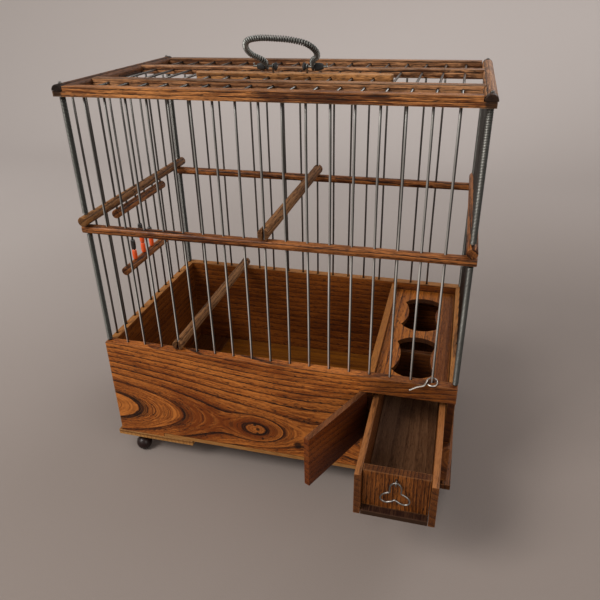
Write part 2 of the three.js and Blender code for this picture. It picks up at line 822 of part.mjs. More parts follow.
function doorPinBores() {
  return Object.values(doorPinSpans).map(([z0, z1]) => bore(doorPinDia, z0 - seatGap, z1 + seatGap));
}

function doorPins() {
  const { x, y } = doorPivot();
  return Object.entries(doorPinSpans).map(([end, [z0, z1]]) => {
    return piece(`door_pin_${end}`, rod(doorPinDia, z0, z1).translate(x, y, 0), 'steel');
  });
}

// the door shut, with the hinge axis on x = y = 0
function feederDoor() {
  const left = doorHingeGap - doorPivotFromEdge;
  const right = baseHalfX - seatGap - doorPivot().x;
  const zs = [doorWayBottom + seatGap, doorWayTop - seatGap];
  const leaf = block([left, right], [-doorPivotIn, doorThick - doorPivotIn], zs);
  return piece('feeder_door', cut(leaf, ...doorPinBores()), 'oak');
}

// ---------------------------------------------------------------- latch

// flat hook bent from one wire, with the upright wire on x = y = 0: from the arm's tip over a knee
// to the eye, which goes round behind the upright wire and ends open at the front
function latchHook() {
  const room = wireDia / 2 + 1.5 * seatGap + latchWireDia / 2;
  const [w, l] = [latchEyeWidth / 2, latchEyeLength / 2];
  const [from, to] = [155, -140].map(THREE.MathUtils.degToRad);
  const around = 12;
  const points = [
    new THREE.Vector3(-latchTipX, -latchTipY, 0),
    new THREE.Vector3(-(latchTipX + latchKneeX) / 2, -(latchTipY + latchKneeY) / 2 + latchWireDia / 2, 0),
    new THREE.Vector3(-latchKneeX, -latchKneeY, 0),
  ];
  for (let i = 0; i <= around; i += 1) {
    const a = from + ((to - from) * i) / around;
    points.push(new THREE.Vector3(w * Math.cos(a), room - l + l * Math.sin(a), 0));
  }
  const up = new THREE.Vector3(0, 0, 1);
  return tube(points, points.map(() => up), latchWireDia, wireSides, false);
}

// the hook leans on the board's top front edge
function latch() {
  const hook = latchHook().translate(0, endBoardOut, 0);
  const mesh = piece('latch_hook', hook, 'steel');
  mesh.rotation.x = THREE.MathUtils.degToRad(latchTilt);
  mesh.position.set(longPlaces.at(-1), -baseHalfY, baseTopZ + seatGap + latchWireDia / 2);
  return mesh;
}

// ---------------------------------------------------------------- perches

// stick along y, each end slotted to grip an upright wire
function perch(name, wire, supportZ) {
  const half = postSpanY / 2 + perchOver;
  const slot = wireDia + 2 * seatGap;
  const slotEnd = postSpanY / 2 - wireDia / 2 - seatGap;
  const stick = dowel(perchDia, -half, half, 12).rotateZ(Math.PI / 2);
  const slots = [-1, 1].map((side) => {
    const ys = [side * slotEnd, side * (half + cutPast)].sort((a, b) => a - b);
    return block([-slot / 2, slot / 2], ys, [-perchDia, perchDia]);
  });
  const mesh = piece(name, cut(stick, ...slots), 'perchWood');
  mesh.position.set(wire * wirePitch, 0, supportZ + seatGap + perchDia / 2);
  return mesh;
}

// ---------------------------------------------------------------- handle

// screw eye in the handle board with the bail's pin fast in its ring, along x
function handlePivot() {
  const ringDia = handlePinDia + 2 * (handleEyeWireDia - handleEyeGrip);
  const ring = wireRing(ringDia, handleEyeWireDia, 10).translate(handleEyeX, 0, 0);
  const shankTop = -(ringDia - handleEyeWireDia) / 2;
  const shank = rod(handleEyeWireDia, -handlePivotRise - handleEyeShank, shankTop);
  return fuse(ring, shank.translate(handleEyeX, 0, 0), dowel(handlePinDia, handlePinInner, handlePinOuter, wireSides));
}

// rubber ring on the pin, soft at both rims
function grommet(length) {
  const inner = boreDia(handlePinDia) / 2;
  const outer = grommetDia / 2;
  const profile = [
    [inner, 0],
    [outer - grommetRound, 0],
    [outer, grommetRound],
    [outer, length - grommetRound],
    [outer - grommetRound, length],
    [inner, length],
    [inner, 0],
  ];
  return turned(profile, 10).rotateY(Math.PI / 2);
}

function handleFixings() {
  const innerX = handleEyeX - handleEyeWireDia / 2 - seatGap - innerGrommetLength;
  const outerX = bailFootX + bailWireDia / 2 + seatGap;
  const fixings = new THREE.Group();
  for (const [side, turn] of [['right', 0], ['left', Math.PI]]) {
    const half = assembly(
      piece(`handle_pivot_${side}`, handlePivot(), 'steel'),
      piece(`grommet_inner_${side}`, grommet(innerGrommetLength).translate(innerX, 0, 0), 'rubber'),
      piece(`grommet_outer_${side}`, grommet(outerGrommetLength).translate(outerX, 0, 0), 'rubber'),
    );
    half.rotation.z = turn;
    fixings.add(half);
  }
  fixings.position.set(handleX, handleBoardY, topZ + handlePivotRise);
  return fixings;
}

// middle line of the bail in its own plane: x across, z up from the pins
function bailCurve() {
  const foot = bailEyeDia / 2;
  const h = bailHeight;
  const side = [
    [bailFootX, foot],
    [bailFootX + bailFootSplay, foot + springFootClear + springDia],
    ...bailShape.map(([across, up]) => [across * bailHalfWidth, up * h]),
  ];
  const right = side.map(([x, z]) => new THREE.Vector3(x, 0, z));
  const left = side.map(([x, z]) => new THREE.Vector3(-x, 0, z)).reverse();
  return new THREE.CatmullRomCurve3([...right, new THREE.Vector3(0, 0, h), ...left], false, 'centripetal');
}

function bailWire() {
  const curve = bailCurve();
  const steps = 36;
  const points = curve.getSpacedPoints(steps);
  const wire = tube(points, points.map(() => new THREE.Vector3(0, 1, 0)), bailWireDia, wireSides, false);
  const eyes = [-1, 1].map((side) => {
    return wireRing(bailEyeDia + bailWireDia / 2, bailWireDia, 10).translate(side * bailFootX, 0, 0);
  });
  return fuse(wire, ...eyes);
}

// open-wound spring round the bail, one unbroken helix with straight ends
function bailSpring() {
  const curve = bailCurve();
  const length = curve.getLength();
  const start = springFootClear / length;
  const r = (springDia - springWireDia) / 2;
  const perCurl = 8;
  const steps = springCurls * perCurl;
  const centres = [];
  const outs = [];
  const frame = (u) => {
    const at = curve.getPointAt(u);
    const tangent = curve.getTangentAt(u);
    return { at, side: new THREE.Vector3(0, 1, 0).cross(tangent), up: new THREE.Vector3(0, 1, 0) };
  };
  for (let i = 0; i <= steps; i += 1) {
    const u = start + ((1 - 2 * start) * i) / steps;
    const { at, side, up } = frame(u);
    const a = (2 * Math.PI * i) / perCurl;
    const out = side.clone().multiplyScalar(Math.cos(a)).addScaledVector(up, Math.sin(a));
    centres.push(at.clone().addScaledVector(out, r));
    outs.push(out);
  }
  const straight = (from, beyond, u) => {
    const { side } = frame(u);
    const ahead = from.clone().sub(beyond).normalize().multiplyScalar(springWireDia);
    return { point: from.clone().add(ahead), side };
  };
  const first = straight(centres[0], centres[1], start);
  const last = straight(centres[steps], centres[steps - 1], 1 - start);
  centres.unshift(first.point);
  outs.unshift(first.side);
  centres.push(last.point);
  outs.push(last.side);
  reportLeastGap(centres, perCurl);
  return tube(centres, outs, springWireDia, 5, false);
}

// least gap of the helix to itself, between points at least half a curl apart
function reportLeastGap(centres, perCurl) {
  let least = Infinity;
  for (let i = 0; i < centres.length; i += 1) {
    for (let j = i + perCurl / 2; j < Math.min(centres.length, i + 2 * perCurl); j += 1) {
      const a = new THREE.Line3(centres[j - 1], centres[j]);
      const near = a.closestPointToPoint(centres[i], true, new THREE.Vector3());
      least = Math.min(least, near.distanceTo(centres[i]) - springWireDia);
    }
  }
  console.log(`handle spring: ${springCurls} curls, least gap to itself ${least.toFixed(2)} mm`);
}

// ---------------------------------------------------------------- the four walls

const frontWall = assembly(
  frontBoard(),
  wireGrid('front_grid', midRail(), longPlaces),
  topRail('front_top_rail'),
);
frontWall.position.y = -postSpanY / 2;

const backWall = assembly(
  backBoard(),
  wireGrid('back_grid', midRail(), longPlaces),
  topRail('back_top_rail'),
);
backWall.position.y = postSpanY / 2;
backWall.rotation.z = Math.PI;

const rightWall = assembly(
  sideBoard('right_board'),
  wireGrid('right_grid', sideMidRail(sideMidRailFront, sideMidRailBack, []), shortPlaces),
  sideTopRail('right_top_rail', []),
);
rightWall.position.x = postSpanX / 2;
rightWall.rotation.z = Math.PI / 2;

const leftWall = assembly(
  sideBoard('left_board'),
  wireGrid('left_grid', sideMidRail(sideMidRailBack, sideMidRailFront, doorPlaces), fixedPlaces),
  sideTopRail('left_top_rail', doorPlaces),
  ...sideDoor(),
);
leftWall.position.x = -postSpanX / 2;
leftWall.rotation.z = -Math.PI / 2;

// ---------------------------------------------------------------- the other assemblies

const top = assembly(frontCrossRail(), topGrid(), handleBoard());

const posts = assembly(...corners(post));

const underside = assembly(
  ...corners(foot),
  footBoard('foot_board_left', -1),
  footBoard('foot_board_right', 1),
  trayGuide(),
  floorTray(),
);

const feederBay = assembly(partition(), feederLid(), drawerShelf(), ...doorPins());

const drawer = assembly(...drawerPieces());
drawer.position.set(bayLeft + slideGap, drawerFrontY, drawerZ);

const door = assembly(feederDoor());
door.position.set(doorPivot().x, doorPivot().y, 0);
door.rotation.z = THREE.MathUtils.degToRad(-doorAngle);

const perches = assembly(
  perch('upper_perch', upperPerchWire, midRailZ + midRailHeight / 2),
  perch('lower_perch', lowerPerchWire, baseTopZ),
);

const bail = assembly(
  piece('handle_wire', bailWire(), 'steel'),
  piece('handle_spring', bailSpring(), 'steel'),
);
bail.position.set(handleX, handleBoardY, topZ + handlePivotRise);
bail.rotation.x = THREE.MathUtils.degToRad(handleLean);

const handle = assembly(handleFixings(), bail);

// ---------------------------------------------------------------- the cage

const cage = assembly(
  frontWall,
  backWall,
  rightWall,
  leftWall,
  top,
  posts,
  underside,
  feederBay,
  drawer,
  door,
  latch(),
  perches,
  handle,
);

// the origin lies on the floor, midway between the drawer's front and the side rails' back ends
const frontReach = drawerFrontY;
const backReach = postSpanY / 2 + sideMidRailBack;
cage.position.y = -(frontReach + backReach) / 2;

const model = new THREE.Group();
model.add(cage);

export default model;
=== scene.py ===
"""Dressed model of a wooden canary breeding cage: oak base, wire walls, feed drawer and sprung handle."""

import logging
import math
from dataclasses import dataclass, replace
from enum import Enum
from random import Random

import bpy
from mathutils import Matrix, Vector


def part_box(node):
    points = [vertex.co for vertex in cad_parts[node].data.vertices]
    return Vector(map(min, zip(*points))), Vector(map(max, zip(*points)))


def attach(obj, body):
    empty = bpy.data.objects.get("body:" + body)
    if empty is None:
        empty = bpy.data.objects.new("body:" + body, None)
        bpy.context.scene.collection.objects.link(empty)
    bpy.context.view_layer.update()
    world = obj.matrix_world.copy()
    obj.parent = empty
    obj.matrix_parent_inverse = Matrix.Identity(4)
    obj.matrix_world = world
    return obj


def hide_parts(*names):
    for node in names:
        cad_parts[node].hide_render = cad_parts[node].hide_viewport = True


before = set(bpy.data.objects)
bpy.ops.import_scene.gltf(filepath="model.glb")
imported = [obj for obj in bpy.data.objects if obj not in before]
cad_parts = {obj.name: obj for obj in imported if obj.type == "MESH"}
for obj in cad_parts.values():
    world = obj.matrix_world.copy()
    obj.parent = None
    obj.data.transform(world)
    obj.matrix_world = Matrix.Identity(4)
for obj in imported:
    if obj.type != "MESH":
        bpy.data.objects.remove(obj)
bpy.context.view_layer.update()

MM = 0.001
WIRE = 1.8  # diameter of the cage's wires, in millimetres like the next four
PITCH = 16.0  # from wire to wire
SIDE_X = 145.0  # middle line of a side wall
MIDDLE_Y = 39.0  # middle of the side walls
DOOR_WIRES = tuple(MIDDLE_Y + PITCH * step for step in (-1.5, -0.5, 0.5, 1.5))  # along y
log = logging.getLogger("canary_cage")


class Axis(Enum):
    """Direction of a board's grain or of a bar."""

    X = 0
    Y = 1
    Z = 2

    @property
    def unit(self) -> Vector:
        """Unit vector of the axis."""
        return Vector([float(i == self.value) for i in range(3)])

    @property
    def sides(self) -> tuple[Vector, Vector]:
        """Unit vectors of the two axes across this one."""
        return Axis((self.value + 1) % 3).unit, Axis((self.value + 2) % 3).unit


class Body(Enum):
    """Bodies of the frame that the added pieces ride on."""

    CAGE = "cage"
    DRAWER = "drawer"
    DRAWER_PULL = "drawer_pull"
    LATCH = "latch"
    SIDE_DOOR = "side_door"
    UPPER_PERCH = "upper_perch"
    LOWER_PERCH = "lower_perch"
    HANDLE = "handle"


# ---------------------------------------------------------------- shader nodes


class Signal:
    """One output socket; arithmetic on it adds Math nodes to its sheet."""

    def __init__(self, sheet: "NodeSheet", socket: bpy.types.NodeSocket) -> None:
        """Wraps a socket.

        Args:
            sheet: Node sheet that the socket belongs to.
            socket: Output socket.
        """
        self.sheet = sheet
        self.socket = socket

    def math(self, operation: str, *terms: "Signal | float") -> "Signal":
        """Adds one Math node.

        Args:
            operation: Name of the Math operation.
            terms: Values of its inputs, in order.

        Returns:
            The node's result.
        """
        settings = {"operation": operation}
        return self.sheet.read("ShaderNodeMath", 0, settings, dict(enumerate(terms)))

    def __add__(self, other: "Signal | float") -> "Signal":
        """Sum."""
        return self.math("ADD", self, other)

    __radd__ = __add__

    def __sub__(self, other: "Signal | float") -> "Signal":
        """Difference."""
        return self.math("SUBTRACT", self, other)

    def __rsub__(self, other: "Signal | float") -> "Signal":
        """Difference, reflected."""
        return self.math("SUBTRACT", other, self)

    def __mul__(self, other: "Signal | float") -> "Signal":
        """Product."""
        return self.math("MULTIPLY", self, other)

    __rmul__ = __mul__

    def __truediv__(self, other: "Signal | float") -> "Signal":
        """Quotient."""
        return self.math("DIVIDE", self, other)

    def __rtruediv__(self, other: "Signal | float") -> "Signal":
        """Quotient, reflected."""
        return self.math("DIVIDE", other, self)

    def __neg__(self) -> "Signal":
        """Negative."""
        return self.math("MULTIPLY", self, -1.0)

    def __abs__(self) -> "Signal":
        """Size without sign."""
        return self.math("ABSOLUTE", self)

    def least(self, other: "Signal | float") -> "Signal":
        """Smaller of the two."""
        return self.math("MINIMUM", self, other)

    def most(self, other: "Signal | float") -> "Signal":
        """Larger of the two."""
        return self.math("MAXIMUM", self, other)

    def root(self) -> "Signal":
        """Square root."""
        return self.math("SQRT", self)

    def part(self) -> "Signal":
        """Part after the decimal point."""
        return self.math("FRACT", self)

    def bell(self) -> "Signal":
        """e to the power of minus this value."""
        return self.math("EXPONENT", -self)

    def step(self, low: float, high: float, start: float = 0.0, end: float = 1.0) -> "Signal":
        """Smooth step.

        Args:
            low: Value at which the result is start.
            high: Value at which the result is end.
            start: Result below low.
            end: Result above high.

        Returns:
            The stepped value.
        """
        inputs = {"Value": self, "From Min": low, "From Max": high, "To Min": start, "To Max": end}
        return self.sheet.read("ShaderNodeMapRange", 0, {"interpolation_type": "SMOOTHSTEP"}, inputs)


Colour = tuple[float, float, float]


class NodeSheet:
    """Node tree of one material."""

    def __init__(self, name: str) -> None:
        """Starts an empty material.

        Args:
            name: Name of the material.
        """
        self.material = bpy.data.materials.new(name)
        self.material.use_nodes = True
        self.tree = self.material.node_tree
        self.tree.nodes.clear()

    def node(self, kind: str, settings: dict | None = None, inputs: dict | None = None) -> bpy.types.Node:
        """Adds a node.

        Args:
            kind: Node type.
            settings: The node's properties.
            inputs: Values or signals of its sockets, by name or index.

        Returns:
            The new node.
        """
        made = self.tree.nodes.new(kind)
        for key, setting in (settings or {}).items():
            setattr(made, key, setting)
        for key, entry in (inputs or {}).items():
            if isinstance(entry, Signal):
                self.tree.links.new(entry.socket, made.inputs[key])
            else:
                made.inputs[key].default_value = entry
        return made

    def read(
        self, kind: str, output: int | str, settings: dict | None = None, inputs: dict | None = None
    ) -> Signal:
        """Adds a node and reads one of its outputs.

        Args:
            kind: Node type.
            output: Name or index of the output.
            settings: As for node.
            inputs: As for node.

        Returns:
            The output.
        """
        return Signal(self, self.node(kind, settings, inputs).outputs[output])

    def place(self) -> tuple[Signal, Signal, Signal]:
        """Place on the piece at rest, in metres, as three values."""
        at = self.read("ShaderNodeTexCoord", "Object")
        split = self.node("ShaderNodeSeparateXYZ", None, {0: at})
        return tuple(Signal(self, split.outputs[i]) for i in range(3))

    def facing(self, axis: int) -> Signal:
        """How far a surface faces along an axis of the piece, 0 to 1.

        Args:
            axis: Index of the axis.

        Returns:
            Size of the normal's part along it.
        """
        normal = self.read("ShaderNodeTexCoord", "Normal")
        split = self.node("ShaderNodeSeparateXYZ", None, {0: normal})
        return abs(Signal(self, split.outputs[axis]))

    def toward(self, way: tuple[float, float, float]) -> Signal:
        """How far a surface faces one way of the piece, -1 to 1.

        Args:
            way: Unit vector of that way.

        Returns:
            Part of the normal along it.
        """
        normal = self.read("ShaderNodeTexCoord", "Normal")
        return self.read("ShaderNodeVectorMath", "Value", {"operation": "DOT_PRODUCT"}, {0: normal, 1: way})

    def vector(self, *parts: Signal | float) -> Signal:
        """Vector of three parts."""
        return self.read("ShaderNodeCombineXYZ", 0, None, dict(enumerate(parts)))

    def noise(self, at: Signal, scale: float, detail: float = 2.0, rough: float = 0.5) -> Signal:
        """Smooth noise, 0 to 1.

        Args:
            at: Place that it is read at.
            scale: Its fineness, per metre.
            detail: Number of finer layers.
            rough: Strength of the finer layers.

        Returns:
            The noise.
        """
        inputs = {"Vector": at, "Scale": scale, "Detail": detail, "Roughness": rough}
        return self.read("ShaderNodeTexNoise", 0, None, inputs)

    def blend(self, share: Signal | float, first: Signal | Colour, second: Signal | Colour) -> Signal:
        """Mixes two colours.

        Args:
            share: Share of the second.
            first: First colour.
            second: Second colour.

        Returns:
            The mixed colour.
        """
        whole = [c if isinstance(c, Signal) else (*c, 1.0) for c in (first, second)]
        return self.read("ShaderNodeMix", 2, {"data_type": "RGBA"}, {0: share, 6: whole[0], 7: whole[1]})

    def bump(self, height: Signal, depth: float) -> Signal:
        """Normal of a bumped surface.

        Args:
            height: Height, 0 to 1.
            depth: Depth of the relief in metres.

        Returns:
            The normal.
        """
        return self.read("ShaderNodeBump", 0, None, {"Height": height, "Distance": depth, "Strength": 1.0})

    def surface(self, fixed: dict, varied: dict) -> bpy.types.Material:
        """Adds the shader and the output.

        Args:
            fixed: Numbers set on the shader's own sockets.
            varied: Signals linked to the shader.

        Returns:
            The finished material.
        """
        shader = self.read("ShaderNodeBsdfPrincipled", 0, None, {**fixed, **varied})
        self.node("ShaderNodeOutputMaterial", None, {"Surface": shader})
        return self.material


# ---------------------------------------------------------------- finishes


@dataclass(frozen=True)
class Knot:
    """A knot that the rings flow round; lengths in millimetres."""

    along: float
    across: float
    reach_along: float
    reach_across: float
    lift: float


@dataclass(frozen=True)
class Eye:
    """Dark heart of a knot; lengths in millimetres."""

    along: float
    across: float
    radius: float


@dataclass(frozen=True)
class Cut:
    """How a board was sawn from the log; lengths in millimetres.

    A ring is met at the distance hypot(across - heart, depth), where depth changes along the grain by
    slope and curve from start on. With a crowding, the rings get narrower outwards: each adds that
    much to the distance squared.
    """

    grain: Axis
    across: Axis
    heart: float = 0.0
    depth: float = 60.0
    slope: float = 0.0
    curve: float = 0.0
    start: float = 0.0
    ring: float = 7.0
    waver: float = 4.0
    seed: float = 0.0
    knots: tuple[Knot, ...] = ()
    crowding: float = 0.0
    eyes: tuple[Eye, ...] = ()


@dataclass(frozen=True)
class Shade:
    """Second tone that sets in along a board, from one place to another; in millimetres. Some are the wood's
    own colour, some painted shade.
    """

    axis: Axis
    start: float
    end: float
    share: float
    colour: Colour


@dataclass(frozen=True)
class Stain:
    """Colours of one kind of wood, linear, and how it is worn.

    light and deep are its two tones, line the colour of its ring lines and pores, worn that of bare
    wood. spread is half the width of the band in which the tones blend, and blotch the strength of
    its dark patches. end_dark says how dark its end grain is, and painted_side_shade how strongly a painted
    shade darkens its upright faces. raw is how bare the faces square to raw_axis are, and tip the
    length of its darkened ends in millimetres.
    """

    name: str
    slot: str
    light: Colour
    deep: Colour
    line: Colour
    worn: Colour
    line_strength: float = 1.0
    pore_strength: float = 0.85
    gloss: float = 0.4
    coat: float = 0.06
    wear: float = 0.55
    spread: float = 0.22
    blotch: float = 0.0
    end_dark: float = 0.7
    raw_axis: Axis | None = None
    raw: float = 0.0
    tip: float = 0.0
    painted_side_shade: float = 0.0


OAK = Stain(
    "oak", "oak",
    (0.47, 0.152, 0.028), (0.145, 0.029, 0.003), (0.008, 0.003, 0.002), (0.36, 0.16, 0.055),
    wear=0.35, spread=0.17, blotch=0.25, pore_strength=0.95,
)
RED_OAK = Stain(
    "red_oak", "oak",
    (0.215, 0.06, 0.008), (0.08, 0.017, 0.002), (0.008, 0.002, 0.001), (0.37, 0.16, 0.042),
    line_strength=0.5, raw_axis=Axis.Z, raw=0.75, spread=0.2, blotch=0.12,
)
RAIL_OAK = Stain(
    "rail_oak", "oak",
    (0.35, 0.124, 0.032), (0.07, 0.016, 0.002), (0.008, 0.003, 0.002), (0.33, 0.148, 0.055),
    wear=0.35, spread=0.15, blotch=0.5, end_dark=0.4,
)
OLIVE_RAIL_OAK = replace(
    RAIL_OAK, name="olive_rail_oak", light=(0.26, 0.115, 0.035), deep=(0.1, 0.034, 0.008), blotch=0.25
)
TIPPED_OAK = Stain(
    "tipped_oak", "oak",
    (0.52, 0.21, 0.062), (0.085, 0.02, 0.003), (0.009, 0.004, 0.002), (0.4, 0.22, 0.11),
    wear=0.35, tip=7.5, spread=0.15, blotch=0.7,
)
TOP_OAK = Stain(
    "top_oak", "oak",
    (0.45, 0.215, 0.095), (0.085, 0.026, 0.006), (0.014, 0.006, 0.003), (0.44, 0.28, 0.17),
    wear=0.45, spread=0.15, blotch=0.6,
)
# Left top rail: painted shade, the rail's colour darkened as if in shadow.
PAINTED_SHADE_TOP_OAK = Stain(
    "painted_shade_top_oak", "oak",
    (0.15, 0.055, 0.018), (0.05, 0.016, 0.005), (0.008, 0.004, 0.002), (0.2, 0.1, 0.05),
    tip=6.0, wear=0.0, spread=0.18, blotch=0.4,
)
TIPPED_TOP_OAK = replace(TOP_OAK, name="tipped_top_oak", tip=6.0, wear=0.0)
HANDLE_OAK = Stain(
    "handle_oak", "oak",
    (0.55, 0.26, 0.09), (0.21, 0.075, 0.018), (0.04, 0.016, 0.006), (0.46, 0.28, 0.14),
    line_strength=0.75, wear=0.4, spread=0.18, blotch=0.15,
)
# The lid's upright faces, its edges and the walls of its two holes, carry painted shade.
LID_OAK = Stain(
    "lid_oak", "oak",
    (0.4, 0.128, 0.017), (0.17, 0.041, 0.004), (0.03, 0.009, 0.003), (0.36, 0.15, 0.04),
    line_strength=0.55, painted_side_shade=0.85, spread=0.2, blotch=0.15,
)
PARTITION_OAK = Stain(
    "partition_oak", "oak",
    (0.24, 0.07, 0.01), (0.1, 0.024, 0.003), (0.02, 0.006, 0.002), (0.33, 0.128, 0.024),
    line_strength=0.5, raw_axis=Axis.Z, raw=0.7, spread=0.18,
)
PLAIN_BROWN = Stain(
    "plain_brown", "dark_oak",
    (0.12, 0.034, 0.006), (0.06, 0.015, 0.002), (0.02, 0.006, 0.002), (0.26, 0.12, 0.045),
    line_strength=0.35, coat=0.04, gloss=0.5,
)
DRAWER_OAK = Stain(
    "drawer_oak", "oak",
    (0.235, 0.074, 0.014), (0.07, 0.017, 0.002), (0.012, 0.004, 0.002), (0.34, 0.15, 0.055),
    line_strength=0.9, pore_strength=1.0, wear=0.35, end_dark=0.6, spread=0.16,
)
DRAWER_SIDE = Stain(
    "drawer_side", "oak",
    (0.2, 0.064, 0.013), (0.09, 0.024, 0.004), (0.02, 0.006, 0.003), (0.29, 0.112, 0.034),
    line_strength=0.8, wear=0.3, end_dark=0.45, raw_axis=Axis.Z, raw=0.85, spread=0.18,
)
# Its strong end_dark darkens the floor's front end grain, partly real end grain and partly painted shade.
DRAWER_WORN = Stain(
    "drawer_worn", "dark_oak",
    (0.15, 0.07, 0.033), (0.08, 0.032, 0.012), (0.04, 0.015, 0.006), (0.2, 0.1, 0.05),
    line_strength=0.3, pore_strength=0.6, coat=0.03, gloss=0.55, end_dark=0.9, wear=0.15, spread=0.2,
    blotch=0.35,
)
# The flap's face, turned away from the lamps: darker red-brown, part its own stain and part painted shade.
PAINTED_SHADE_FLAP_OAK = Stain(
    "painted_shade_flap_oak", "oak",
    (0.2, 0.05, 0.007), (0.1, 0.018, 0.002), (0.01, 0.003, 0.001), (0.18, 0.075, 0.028),
    line_strength=0.6, raw_axis=Axis.Z, raw=0.6, end_dark=0.1, spread=0.2,
)
PALE_WOOD = Stain(
    "pale_wood", "pale_wood",
    (0.5, 0.24, 0.07), (0.34, 0.145, 0.036), (0.16, 0.06, 0.015), (0.56, 0.31, 0.11),
    line_strength=0.5, pore_strength=0.5, end_dark=0.25, coat=0.04,
)
TRAY_WOOD = Stain(
    "tray_wood", "pale_wood",
    (0.25, 0.082, 0.007), (0.11, 0.03, 0.003), (0.05, 0.014, 0.002), (0.32, 0.15, 0.045),
    line_strength=0.4, pore_strength=0.5, end_dark=0.3, coat=0.04, wear=0.3, raw_axis=Axis.Y, raw=0.9,
)
PERCH_WOOD = Stain(
    "perch_wood", "perch_wood",
    (0.28, 0.13, 0.049), (0.11, 0.043, 0.015), (0.035, 0.015, 0.007), (0.36, 0.22, 0.12),
    line_strength=0.6, pore_strength=0.9, coat=0.0, gloss=0.66, end_dark=0.7, spread=0.18, blotch=0.35,
)

THROUGH = 0.35  # how much nearer the heart each millimetre into the board is
SEED_STEP = (37.0, 11.0)  # how far apart the figures of two seeds lie
WOOD_RELIEF = 0.16  # depths of the fine relief, in millimetres
WIRE_RELIEF = 0.012
ENAMEL_RELIEF = 0.04
CLOTH_RELIEF = 0.1


@dataclass(frozen=True)
class Figure:
    """Grain at a point: its place in metres and on the board in millimetres, and strengths, 0 to 1.

    dash is how broken the lines are, fine the streaks along the fibres, line the dark ring lines,
    pores the open pores and tone the share of the deep colour.
    """

    at: tuple[Signal, Signal, Signal]
    along: Signal
    across: Signal
    through: Signal
    dash: Signal
    fine: Signal
    line: Signal
    pores: Signal
    tone: Signal


